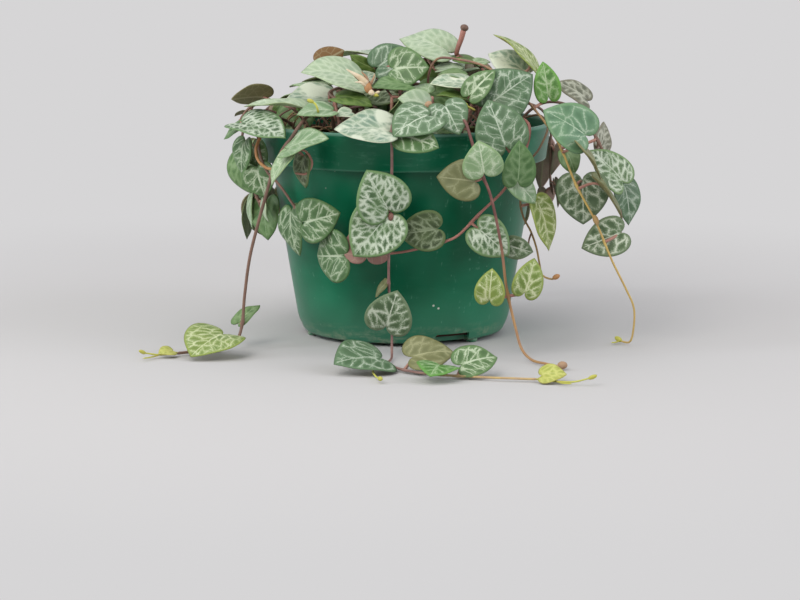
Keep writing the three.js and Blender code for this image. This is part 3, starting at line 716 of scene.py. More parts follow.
@dataclass(frozen=True)
class PotFinish:
    """Injection-moulded polypropylene: semi-gloss, faintly uneven, dusty and limed by use, with a painted
    highlight along the lip and the band's ledge.
    """

    green: str = "#05563a"
    light: str = "#0e704f"
    dust: str = "#649a82"
    lime: str = "#a9ab93"
    speck: str = "#c9cfc4"
    # The colour of the painted highlight along the lip and the band's ledge.
    edge: str = "#7aa594"

    def build(self) -> bpy.types.Material:
        """Builds the plastic.

        Height picks the places: dust smears on the rim band, lime and dirt along the foot, a paler
        tint towards the foot, and a painted highlight along the lip and the band's ledge.
        Upright stretched noise gives faint scratches, and white specks are small far-apart dots.

        Returns:
            The material.
        """
        material, add, shader = start_material("moulded polypropylene, green")
        place = add("TexCoord", out="Object")
        height = add("SeparateXYZ", [place], "Z")
        level = add("VectorMath MULTIPLY", [place, (1.0, 1.0, 5.0)])
        upright = add("VectorMath MULTIPLY", [place, (1.0, 1.0, 0.06)])
        # The moulding's flow marks are about 20 mm wide, the level smears of dust 8 mm, crumbs of
        # dirt 1.5 mm, upright scratches 1 mm, groups of specks 17 mm and the skin's swells 6 mm.
        flow, smear, crumbs, scratch, group, swell = (
            add("TexNoise", {"Vector": where, "Scale": scale, "Detail": detail}, "Fac")
            for where, scale, detail in (
                (place, 45.0, 2.0), (level, 120.0, 5.0), (place, 700.0, 4.0), (upright, 900.0, 1.0),
                (place, 60.0, 1.0), (place, 160.0, 2.0),
            )
        )
        dots = add("TexVoronoi", {"Vector": place, "Scale": 170.0, "Randomness": 1.0}, "Distance")
        # The wall turns paler towards the foot, in the dust colour.
        paler_towards_foot = add("MapRange", [height, 0.002, 0.022, 0.3, 0.0])
        dusty = product(add, [
            [smear, 0.54, 0.74, 0.0, 0.4], [crumbs, 0.35, 0.6], [height, 0.062, 0.066, 0.12, 1.0],
        ])
        limed = product(add, [[height, 0.0015, 0.008, 0.45, 0.0], [smear, 0.44, 0.62], [crumbs, 0.3, 0.62]])
        lines = product(add, [[scratch, 0.68, 0.74, 0.0, 0.35], [smear, 0.5, 0.6]])
        # Painted highlight: a pale line along the rim's lip and along the ledge under the rim band, broken up
        # by the flow marks.
        lip = add("MapRange", [height, 0.0747, 0.0753, 0.0, 1.3])
        ledge_highlight = product(add, [[height, 0.0625, 0.0628], [height, 0.0632, 0.0636, 0.4, 0.0]])
        patches_and_painted_highlight = add("Math MULTIPLY", [add("Math MAXIMUM", [lip, ledge_highlight]), flow])
        specks = product(add, [[dots, 0.05, 0.08, 1.0, 0.0], [group, 0.60, 0.64]])
        plastic = linear(self.green)
        for share, coat in (
            (add("MapRange", [flow, 0.35, 0.7]), self.light), (paler_towards_foot, self.dust), (dusty, self.dust),
            (limed, self.lime), (lines, self.dust), (patches_and_painted_highlight, self.edge), (specks, self.speck),
        ):
            plastic = add("Mix", {0: share, 6: plastic, 7: linear(coat)}, **BLEND)
        dull = add("Math ADD", [dusty, limed])
        sheen = add("MapRange", [flow, 0.3, 0.7, 0.30, 0.38])
        rough = add("Math MULTIPLY_ADD", [dull, 0.4, sheen])
        peel = add("Math MULTIPLY_ADD", [crumbs, 0.4, swell])
        bump = add("Bump", {"Strength": 0.35, "Distance": 0.12 * MM, "Height": peel})
        feed(shader, {
            "Base Color": plastic, "Normal": bump, "Roughness": rough,
            "IOR": 1.49, "Specular IOR Level": 0.26,
        })
        return material


@dataclass(frozen=True)
class EarthFinish:
    """Fibrous potting mix: peat crumbs and bark, matt, dark brown with straw-coloured fibre."""

    dark: str = "#241a14"
    brown: str = "#4a3527"
    straw: str = "#7d6346"
    straw_share: float = 0.1

    def build(self, name: str) -> bpy.types.Material:
        """Builds the earth.

        Args:
            name: What it is, for the material's name.

        Returns:
            The material: crumbs of about 1.5 mm, and a share of straw-coloured bits.
        """
        material, add, shader = start_material(f"potting mix, {name}")
        place = add("TexCoord", out="Object")
        crumbs = add("TexNoise", {"Vector": place, "Scale": 650.0, "Detail": 5.0}, "Fac")
        bits = add("TexNoise", {"Vector": place, "Scale": 300.0, "Detail": 2.0}, "Fac")
        body = add("Mix", {0: crumbs, 6: linear(self.dark), 7: linear(self.brown)}, **BLEND)
        share = add("MapRange", [bits, 0.75 - self.straw_share, 0.8 - self.straw_share])
        colour = add("Mix", {0: share, 6: body, 7: linear(self.straw)}, **BLEND)
        bump = add("Bump", {"Strength": 0.9, "Distance": 0.5 * MM, "Height": crumbs})
        feed(shader, {"Base Color": colour, "Normal": bump, "Roughness": 0.92, "Specular IOR Level": 0.2})
        return material


# Leaves, stems and plants

@dataclass(frozen=True)
class Leaf:
    """One leaf of the layout: where its notch and tip lie, which way it faces, and its colours."""

    notch: Point
    tip: Point
    face: tuple[float, float]
    look: Look
    broad: float = 1.0

    def axes(self) -> tuple[Array, Array, Array, float]:
        """Where and how the blade lies.

        Returns:
            The notch, the direction to the tip, the direction faced, and the length.
        """
        foot = np.array(self.notch, float)
        along = np.array(self.tip, float) - foot
        length = float(np.linalg.norm(along))
        along /= length
        face = facing(*self.face)
        return foot, along, unit(face - along * (face @ along)), length


@dataclass
class BladeForm:
    """A heart-shaped blade: a smooth outline, a shallow fold and arch, and a rounded margin."""

    outline: tuple[tuple[float, float], ...] = (
        (0.0, 0.0), (-0.09, 0.05), (-0.165, 0.18), (-0.15, 0.38), (-0.03, 0.53), (0.18, 0.595),
        (0.42, 0.56), (0.63, 0.44), (0.80, 0.28), (0.92, 0.125), (1.0, 0.0),
    )
    middle: float = 0.36
    fold: float = 0.12
    crease: float = 0.03
    arch: float = 0.05
    wave: float = 0.016
    droop: Span = (-0.02, 0.035)
    thickness: float = 0.9
    grown_length: float = 12
    pattern_shift: float = 200
    half_columns: int = 22
    rings: tuple[float, ...] = (0.22, 0.45, 0.66, 0.83, 0.94)

    def edge(self) -> Array:
        """The outline as shares of the length, from the notch round one side and back.

        Returns:
            Points (along, across) as columns x 2. The second half mirrors the first.
        """
        half = smooth_path(np.array(self.outline), 0.01)
        picks = np.linspace(0, len(half) - 1, self.half_columns + 1).round().astype(int)
        half = half[picks]
        return np.vstack([half, half[-2:0:-1] * (1, -1)])

    def rise(self, along: Array | float, across: Array | float) -> Array:
        """Height over the flat blade: a fold with a soft crease, and an arch from notch to tip."""
        fold = np.sqrt(across**2 + self.crease**2) - self.crease
        return self.fold * fold + self.arch * 4 * along * (1 - along)

    def add(self, shells: Shells, leaf: Leaf, slots: tuple[int, int], rng: np.random.Generator) -> None:
        """Adds one blade to a mesh.

        Rings of the outline, shrunk towards the blade's middle, run over the upper side to the
        margin and back below. The half thickness follows the root of 1 less the fourth power of
        the ring's share, which is full in the middle and closes round at the margin. The margin
        waves three and five times.

        Args:
            shells: The mesh that takes it.
            leaf: The leaf.
            slots: Material slots of its upper and under side.
            rng: The draws for its waves, its tone and its place in the pattern.
        """
        foot, along, up, length = leaf.axes()
        side = np.cross(up, along)
        edge = self.edge()
        centre = np.array([self.middle, 0.0])
        shrink = np.array([*self.rings, 1.0, *self.rings[::-1]])
        sign = np.repeat([1.0, 0.0, -1.0], [len(self.rings), 1, len(self.rings)])
        u, v = np.moveaxis(centre + shrink[:, None, None] * (edge - centre), -1, 0)
        turn = round_angles(len(edge))
        first, second = rng.uniform(0, 2 * np.pi, 2)
        droop = rng.uniform(*self.droop)
        ripple = np.sin(3 * turn + first) + 0.7 * np.sin(5 * turn + second)
        lift = self.rise(u, v) + self.wave * ripple * shrink[:, None] ** 2 - droop * shrink[:, None] ** 4
        # A leaf shorter than a grown one is thinner in proportion.
        thick = self.thickness * min(1.0, length / self.grown_length) / 2
        body = thick * np.sqrt(1 - shrink**4) * sign
        across = v * length * leaf.broad
        height = lift * length + body[:, None]
        shares = ((along, u * length), (side, across), (up, height))
        places = foot + sum(direction * share[..., None] for direction, share in shares)
        # The solids' blades, too, stay this clear of what the plant lies on.
        places[..., 2] = np.maximum(places[..., 2], BLADE_GAP)
        reach = np.linalg.norm((edge - centre) * (1, leaf.broad), axis=1) * length
        marks = {
            "across": across,
            "share": np.clip(u, 0, 1),
            "margin": (1 - shrink[:, None]) * reach,
            "tone": rng.uniform(0, 1),
        }
        pattern = np.stack([u * length, across], -1)
        pattern = pattern + rng.uniform(-self.pattern_shift, self.pattern_shift, 2)
        shells.add(places, np.repeat(slots, len(self.rings)), marks, pattern)


@dataclass
class StemForm:
    """A wiry stem that thickens a little where leaves sit and ends in a round tip."""

    radius: float = 0.56
    step: float = 1.5
    sides: int = 9
    joint_swell: float = 0.3
    joint_reach: float = 1.3
    taper: float = 0.25
    tip_length: float = 1.2
    root_depths: tuple[float, ...] = (60, 66, 72)

    def lines(self, root: tuple[float, float], paths: list[list[Point]]) -> list[Array]:
        """The centre lines of a plant's stems, of which the first starts down in the soil.

        Args:
            root: Where the plant leaves the soil.
            paths: The points of each stem.

        Returns:
            Each stem's points, evenly spaced.
        """
        buried = [(*root, depth) for depth in self.root_depths]
        return [
            smooth_path(np.array(path, float), self.step)
            for path in ([*buried, *paths[0]], *paths[1:])
        ]

    def add(self, shells: Shells, line: Array, joints: list[Array]) -> None:
        """Adds one stem.

        Its radius narrows evenly to the tip and swells by a bell curve at each joint. The mark
        that colours it runs from 0 at its start to 1 at its tip.

        Args:
            shells: The mesh that takes it.
            line: The centre line's points.
            joints: Places along it where leaf stalks leave.
        """
        run = run_along(line)
        share = run / run[-1]
        radii = self.radius * (1 - self.taper * share)
        for joint in joints:
            reach = np.linalg.norm(line - joint, axis=1)
            radii = radii + self.radius * self.joint_swell * np.exp(-((reach / self.joint_reach) ** 2))
        closing = np.sqrt(np.clip((run[-1] - run) / self.tip_length + 0.1, 0, 1))
        rows = tube(lifted(line, radii), radii * closing, self.sides)
        shells.add(rows, 0, {"age": share[:, None]})


@dataclass
class StalkForm:
    """A leaf's stalk: a thin curve from the stem up to the blade from below."""

    radius: float = 0.46
    seat: float = 0.14
    sink: float = 0.1
    drop: float = 1.2
    back: float = 0.6
    sag: float = 0.06
    bow: float = 0.55
    taper: Span = (1.25, 0.9)
    sides: int = 7
    points: int = 12

    def line(self, blade: BladeForm, leaf: Leaf, stems: list[Array]) -> tuple[Array, Array]:
        """The stalk's centre line, and its place on the stem.

        A cubic curve from the nearest point of the stems, which leaves the stem sideways and
        comes in under the notch, to a seat inside the blade.

        Args:
            blade: The form of the blades.
            leaf: The leaf.
            stems: The plant's centre lines.

        Returns:
            The curve's points, and the joint on the stem.
        """
        foot, along, up, length = leaf.axes()
        every = np.vstack(stems)
        joint = every[np.argmin(np.linalg.norm(every - foot, axis=1))]
        seat = foot + along * self.seat * length + up * (blade.rise(self.seat, 0.0) * length - self.sink)
        elbow = foot - up * self.drop - along * self.back
        middle = joint + (elbow - joint) * self.bow - UP * self.sag * np.linalg.norm(elbow - joint)
        t = np.linspace(0, 1, self.points)[:, None]
        curve = (
            (1 - t) ** 3 * joint + 3 * (1 - t) ** 2 * t * middle
            + 3 * (1 - t) * t**2 * elbow + t**3 * seat
        )
        return curve, joint

    def add(self, shells: Shells, line: Array, slot: int) -> None:
        """Adds the stalk, which narrows from the stem to the blade, in a material slot."""
        radii = self.radius * np.linspace(*self.taper, len(line))
        shells.add(tube(lifted(line, radii), radii, self.sides), slot, {"age": 0.6})


@dataclass(frozen=True)
class Twig:
    """A small extra stem, root or shoot: a smooth tube that narrows from one radius to another."""

    skin: Skin
    start: float
    end: float
    points: tuple[Point, ...]
    step: float = 0.7
    sides: int = 7
    end_share: float = 0.4

    def add(self, shells: Shells, slot: int) -> None:
        """Adds it to a mesh, with its ends drawn in.

        Args:
            shells: The mesh that takes it.
            slot: Its material slot.
        """
        line = smooth_path(np.array(self.points, float), self.step)
        radii = np.linspace(self.start, self.end, len(line))
        radii[[0, -1]] *= self.end_share
        shells.add(tube(line, radii, self.sides), slot, {"age": np.linspace(0, 1, len(line))[:, None]})


@dataclass(frozen=True)
class Bead:
    """A small extra body, such as a tuber, a bud or a scale."""

    skin: Skin
    centre: Point
    axis: Point
    half: float
    radius: float
    rows: int = 9
    sides: int = 12

    def add(self, shells: Shells, slot: int) -> None:
        """Adds it to a mesh, in a material slot."""
        body = ellipsoid(self.centre, self.axis, self.half, self.radius, self.rows, self.sides)
        shells.add(body, slot, {"age": 0.5})


@dataclass
class Plant:
    """One vine or tuft: its stems and stalks are one piece, and its leaves another."""

    name: str
    root: tuple[float, float]
    paths: list[list[Point]]
    leaves: list[Leaf]
    extras: list[Twig | Bead] = field(default_factory=list)
    skin: Skin = Skin.BROWN
    stem: StemForm = field(default_factory=StemForm)
    blade: BladeForm = field(default_factory=BladeForm)
    stalk: StalkForm = field(default_factory=StalkForm)

    @property
    def slot(self) -> str:
        """The record's material slot: the tufts of the crown have their own."""
        return "crown_leaf" if self.name.startswith("crown") else "vine_leaf"

    def build(self, seed: int, colours: Dyes) -> None:
        """Builds and dresses the plant's two pieces.

        Args:
            seed: The seed of its leaves' draws.
            colours: The built materials.
        """
        rng = np.random.default_rng(seed)
        lines = self.stem.lines(self.root, self.paths)
        skins = list(dict.fromkeys([self.skin, Skin.STALK, *(extra.skin for extra in self.extras)]))
        wood, blades = Shells(), Shells()
        joints = []
        for leaf in self.leaves:
            curve, joint = self.stalk.line(self.blade, leaf, lines)
            self.stalk.add(wood, curve, skins.index(Skin.STALK))
            joints.append(joint)
        for line in lines:
            self.stem.add(wood, line, joints)
        for extra in self.extras:
            extra.add(wood, skins.index(extra.skin))
        finishes = [colours[skin] for skin in skins]
        finish_piece(wood.build(f"{self.name}_stems", finishes), self.slot, self.name)
        looks = list(dict.fromkeys(leaf.look for leaf in self.leaves))
        for leaf in self.leaves:
            place = 2 * looks.index(leaf.look)
            self.blade.add(blades, leaf, (place, place + 1), rng)
        finishes = [colours[look, side] for look in looks for side in ("upper", "under")]
        finish_piece(blades.build(f"{self.name}_leaves", finishes), self.slot, self.name)


# Pot and soil

def rounded(corners: tuple[Point, ...], arc_points: int = 5) -> Array:
    """A profile whose corners are rounded.

    Each corner with a reach is a quadratic curve between the two points that lie that reach
    from it along its sides, drawn towards the corner itself.

    Args:
        corners: Distance from the axis, height and reach of each corner.
        arc_points: How many points a rounded corner gets.

    Returns:
        The profile's points (distance, height).
    """
    places = np.array(corners, float)
    points = [places[0, :2]]
    t = np.linspace(0, 1, arc_points)[:, None]
    for before, (radius, height, reach), after in zip(places[:-2], places[1:-1], places[2:]):
        corner = np.array([radius, height])
        if reach == 0:
            points.append(corner)
            continue
        start = corner + unit(before[:2] - corner) * reach
        end = corner + unit(after[:2] - corner) * reach
        points += list((1 - t) ** 2 * start + 2 * (1 - t) * t * corner + t**2 * end)
    points.append(places[-1, :2])
    return np.array(points)


def divided(profile: Array, longest: float) -> Array:
    """Adds points to a profile, evenly between its own.

    Args:
        profile: Its points (distance, height).
        longest: How long a stretch may be.

    Returns:
        The profile with the points added.
    """
    rows = [profile[:1]]
    for start, end in zip(profile[:-1], profile[1:]):
        count = max(1, math.ceil(np.linalg.norm(end - start) / longest))
        rows.append(start + (end - start) * np.linspace(0, 1, count + 1)[1:, None])
    return np.vstack(rows)


def turned(profile: Array, sides: int) -> Array:
    """A profile carried round the upright axis: (r cos a, r sin a, z) on even angles a.

    Args:
        profile: Its points (distance, height).
        sides: How many angles there are.

    Returns:
        Points as profile x sides x 3.
    """
    angles = round_angles(sides)
    radius, height = profile[:, 0, None], profile[:, 1, None]
    return np.stack(np.broadcast_arrays(radius * np.cos(angles), radius * np.sin(angles), height), -1)


@dataclass
class Pot:
    """The moulded nursery pot: one thin skin with a rim band, foot notches and foot nubs."""

    height: float = 76
    rim_radius: float = 52.5
    band_height: float = 13.2
    band_foot_radius: float = 50.8
    wall_top_radius: float = 47.2
    wall_foot_radius: float = 37.8
    base_radius: float = 35.6
    skin: float = 1.3
    base_thickness: float = 1.5
    foot_height: float = 1.2
    foot_round: float = 4.8
    nub_radius: float = 2
    nub_ring: float = 33.4
    notch_turns: tuple[float, ...] = (27, 147, 267)
    nub_from_notch: float = 19
    notch_top: float = 4.3
    notch_width: float = 16
    notch_slant: float = 2.5
    notch_depth: float = 10
    notch_reach: float = 42
    pole_radius: float = 0.3
    sharp_angle: float = 38
    sides: int = 192

    def profile(self) -> Array:
        """The skin's section.

        Returns:
            Its points: outside from the base's middle up to the lip, then inside and back.
        """
        band = self.height - self.band_height
        low, skin, pole = self.foot_height, self.skin, self.pole_radius
        outside = (
            (pole, low, 0), (self.base_radius, low, 1.1),
            (self.wall_foot_radius, low + self.foot_round, 2.2),
            (self.wall_top_radius, band, 0.5), (self.band_foot_radius, band, 0.45),
            (self.band_foot_radius + 0.25, band + 1.5, 0.5),
            (self.rim_radius - 0.05, self.height - 1.1, 0.5), (self.rim_radius, self.height, 0.5),
            (self.rim_radius - skin, self.height, 0.4),
        )
        inside = (
            (self.band_foot_radius - skin + 0.35, band + skin, 0.6),
            (self.wall_top_radius - skin, band + skin, 0.5),
            (self.wall_foot_radius - skin, low + self.foot_round, 1.5),
            (self.base_radius - 0.5, low + self.base_thickness, 0.8), (pole, low + self.base_thickness, 0),
        )
        return divided(rounded(outside + inside), 4.0)

    def notch_block(self, turn: float) -> Array:
        """A block that cuts one notch: a slanted outline pushed through the wall's foot.

        Args:
            turn: The notch's turn from the front.

        Returns:
            The outline at its near and far end, as 2 x 4 x 3.
        """
        half = self.notch_width / 2
        outline = np.array([
            (-half, -1), (half, -1), (half - self.notch_slant / 5, self.notch_top),
            (-half + self.notch_slant, self.notch_top),
        ])
        outward, aside = facing(turn), facing(turn + 90)
        return np.stack([
            outward * depth + aside * outline[:, :1] + UP * outline[:, 1:]
            for depth in (self.notch_reach - self.notch_depth, self.notch_reach)
        ])

    def build(self, plastic: bpy.types.Material) -> None:
        """Builds the skin with its notches cut, and the six nubs it stands on.

        Args:
            plastic: The material.
        """
        wall, cutters, nubs = Shells(), Shells(), Shells()
        wall.add(turned(self.profile(), self.sides))
        skin = wall.build("pot_skin", [plastic])
        for turn in self.notch_turns:
            cutters.add(self.notch_block(turn))
        blocks = cutters.build("notch_cutters", [])
        cut = skin.modifiers.new("notches", "BOOLEAN")
        cut.operation, cut.object, cut.solver = "DIFFERENCE", blocks, "EXACT"
        bpy.context.view_layer.update()
        graph = bpy.context.evaluated_depsgraph_get()
        mesh = bpy.data.meshes.new_from_object(skin.evaluated_get(graph))
        skin.modifiers.clear()
        skin.data = mesh
        bpy.data.objects.remove(blocks)
        mesh.polygons.foreach_set("use_smooth", np.ones(len(mesh.polygons), dtype=bool))
        mesh.set_sharp_from_angle(angle=math.radians(self.sharp_angle))
        finish_piece(skin, "pot_plastic", "pot")
        # The nubs reach a little way into the base.
        top, radius = self.foot_height + 0.4, self.nub_radius
        nub = turned(rounded(((0.2, 0, 0), (radius, 0, 0.7), (radius, top, 0), (0.2, top, 0))), 24)
        for turn in self.notch_turns:
            for side in (-1, 1):
                nubs.add(nub + facing(turn + side * self.nub_from_notch) * self.nub_ring)
        finish_piece(nubs.build("pot_foot_nubs", [plastic]), "pot_plastic", "pot")


@dataclass
class Soil:
    """The fibrous fill: a lumpy, crumbly top over a plain body, with litter strewn on it."""

    top: float = 69.5
    heap: float = 1.5
    clearance: float = 0.45
    pot: Pot = field(default_factory=Pot)
    sides: int = 128
    rings: int = 58
    edge_fade: float = 2
    edge_drop: float = 0.8
    crumb_seed: int = 11
    crumb_lengths: Span = (1.6, 6.0)
    crumb_waves: int = 60
    crumb_height: float = 1.1
    litter_seed: int = 5
    chips: int = 260
    chip_reach: float = 46.5
    chip_lift: Span = (0.1, 1.0)
    chip_steepness: float = 0.45
    chip_half: Span = (1.0, 2.6)
    chip_radius: Span = (0.5, 1.2)
    straw_every: int = 4
    fibres: int = 110
    fibre_reach: float = 45
    fibre_limit: float = 48.2
    fibre_points: int = 7
    fibre_lift: Span = (0.8, 1.8)
    fibre_tilt: Span = (-8, 14)
    fibre_half: Span = (3, 7)
    fibre_bend: Span = (1, 3)
    fibre_bend_tilt: Span = (-10, 30)
    fibre_radius: Span = (0.12, 0.28)
    stem_seed: int = 9
    old_stems: int = 64
    stem_reach: float = 43
    stem_limit: float = 46.5
    stem_points: int = 12
    stem_run: Span = (8, 22)
    stem_crest: Span = (3, 11)
    stem_fall: float = 0.85
    stem_bend: Span = (0, 5)
    stem_radius: Span = (0.28, 0.6)
    stem_taper: Span = (1, 0.6)

    def lift(self, x: Array | float, y: Array | float) -> Array:
        """The solid's lumps: two sine fields over a heap that falls off with the square.

        Args:
            x: Places to the right of the axis.
            y: Places behind it.

        Returns:
            The height over the soil's top.
        """
        broad = np.sin(x * 0.21 + 1.3) * np.cos(y * 0.17 - 0.4)
        small = 0.6 * np.sin(x * 0.43 - y * 0.37)
        return self.heap * (1 - (x * x + y * y) / self.pot.rim_radius**2) + broad + small

    def spot(self, rng: np.random.Generator, reach: float, least: float = 0.02) -> Array:
        """A random place on the lumps: an even turn, and the reach times the root of a share.

        Args:
            rng: The draws.
            reach: How far out it may lie.
            least: The smallest share, which keeps the middle free.

        Returns:
            The place.
        """
        turn = rng.uniform(0, 2 * np.pi)
        reach *= math.sqrt(rng.uniform(least, 1))
        x, y = reach * math.cos(turn), reach * math.sin(turn)
        return np.array([x, y, self.top + self.lift(x, y)])

    def build(self, earth: bpy.types.Material, straw: bpy.types.Material, dry: bpy.types.Material) -> None:
        """Builds the fill, its litter of chips and fibres, and the tangle of old stems over it.

        Args:
            earth: The material of the fill and of most chips.
            straw: The fibres' material.
            dry: The old stems' material.
        """
        pot, gap = self.pot, self.pot.skin + self.clearance
        band = pot.height - pot.band_height
        foot = pot.foot_height + pot.base_thickness + self.clearance
        edge = pot.band_foot_radius - gap
        body = np.array([
            (pot.pole_radius, foot), (pot.base_radius - 1.2, foot), (pot.wall_foot_radius - gap, foot + 3.4),
            (pot.wall_top_radius - gap, band + gap), (edge + 0.35, band + gap + 0.35),
            (edge + 0.35, self.top - 1),
        ])
        rings = np.linspace(edge, 0.4, self.rings)
        profile = np.vstack([body, np.column_stack([rings, np.full(len(rings), self.top)])])
        rows = turned(profile, self.sides)
        upper = rows[len(body):]
        x, y = upper[..., 0], upper[..., 1]
        level = upper[..., :2].reshape(-1, 2)
        crumbs = waves(level, self.crumb_lengths, self.crumb_waves, self.crumb_seed)
        lumps = self.lift(x, y) + self.crumb_height * crumbs.reshape(x.shape)
        fade = np.clip((edge - np.hypot(x, y)) / self.edge_fade, 0, 1)
        upper[..., 2] += lumps * fade - (1 - fade) * self.edge_drop
        fill = Shells()
        fill.add(rows)
        finish_piece(fill.build("soil_fill", [earth]), "potting_soil", "soil")
        self.strew(earth, straw)
        self.tangle(dry)

    def strew(self, earth: bpy.types.Material, straw: bpy.types.Material) -> None:
        """Strews chips, which are flattened beads, and fibres, which are thin bent tubes.

        Args:
            earth: The material of most chips.
            straw: The material of the rest.
        """
        rng = np.random.default_rng(self.litter_seed)
        litter = Shells()
        for index in range(self.chips):
            centre = self.spot(rng, self.chip_reach) + UP * rng.uniform(*self.chip_lift)
            axis = unit(rng.normal(size=3) * (1, 1, self.chip_steepness))
            half, radius = rng.uniform(*self.chip_half), rng.uniform(*self.chip_radius)
            chip = ellipsoid(centre, axis, half, radius, rows=3, sides=6)
            litter.add(chip, int(index % self.straw_every == 0))
        t = np.linspace(-1, 1, self.fibre_points)[:, None]
        for _ in range(self.fibres):
            centre = self.spot(rng, self.fibre_reach) + UP * rng.uniform(*self.fibre_lift)
            heading = facing(rng.uniform(0, 360), rng.uniform(*self.fibre_tilt))
            aside = facing(rng.uniform(0, 360), rng.uniform(*self.fibre_bend_tilt))
            bend = aside * rng.uniform(*self.fibre_bend)
            line = centre + heading * t * rng.uniform(*self.fibre_half) + bend * t**2
            radii = np.full(len(t), rng.uniform(*self.fibre_radius))
            litter.add(tube(pulled_in(line, self.fibre_limit), radii, sides=5), 1)
        finish_piece(litter.build("soil_litter", [earth, straw]), "potting_soil", "soil")

    def tangle(self, dry: bpy.types.Material) -> None:
        """Builds dry old stems and roots that arch low over the soil, under the heap of leaves.

        Each runs level from its foot, bends aside with the square of the run, and rises and
        falls by a parabola.

        Args:
            dry: Their material.
        """
        rng = np.random.default_rng(self.stem_seed)
        stems = Shells()
        t = np.linspace(0, 1, self.stem_points)[:, None]
        for _ in range(self.old_stems):
            foot = self.spot(rng, self.stem_reach, 0.03)
            foot[2] = self.top - 1.0
            heading = facing(rng.uniform(0, 360))
            run, crest = rng.uniform(*self.stem_run), rng.uniform(*self.stem_crest)
            bend = facing(rng.uniform(0, 360)) * rng.uniform(*self.stem_bend)
            line = foot + heading * run * t + bend * t**2
            line = pulled_in(line + UP * crest * 4 * t * (1 - self.stem_fall * t), self.stem_limit)
            radii = rng.uniform(*self.stem_radius) * np.linspace(*self.stem_taper, len(t))
            stems.add(tube(line, radii, sides=6), 0, {"age": t})
        finish_piece(stems.build("soil_old_stems", [dry]), "potting_soil", "soil")


# Where everything is

# A plant's seed is this and its place in the list.
PLANT_SEED = 100

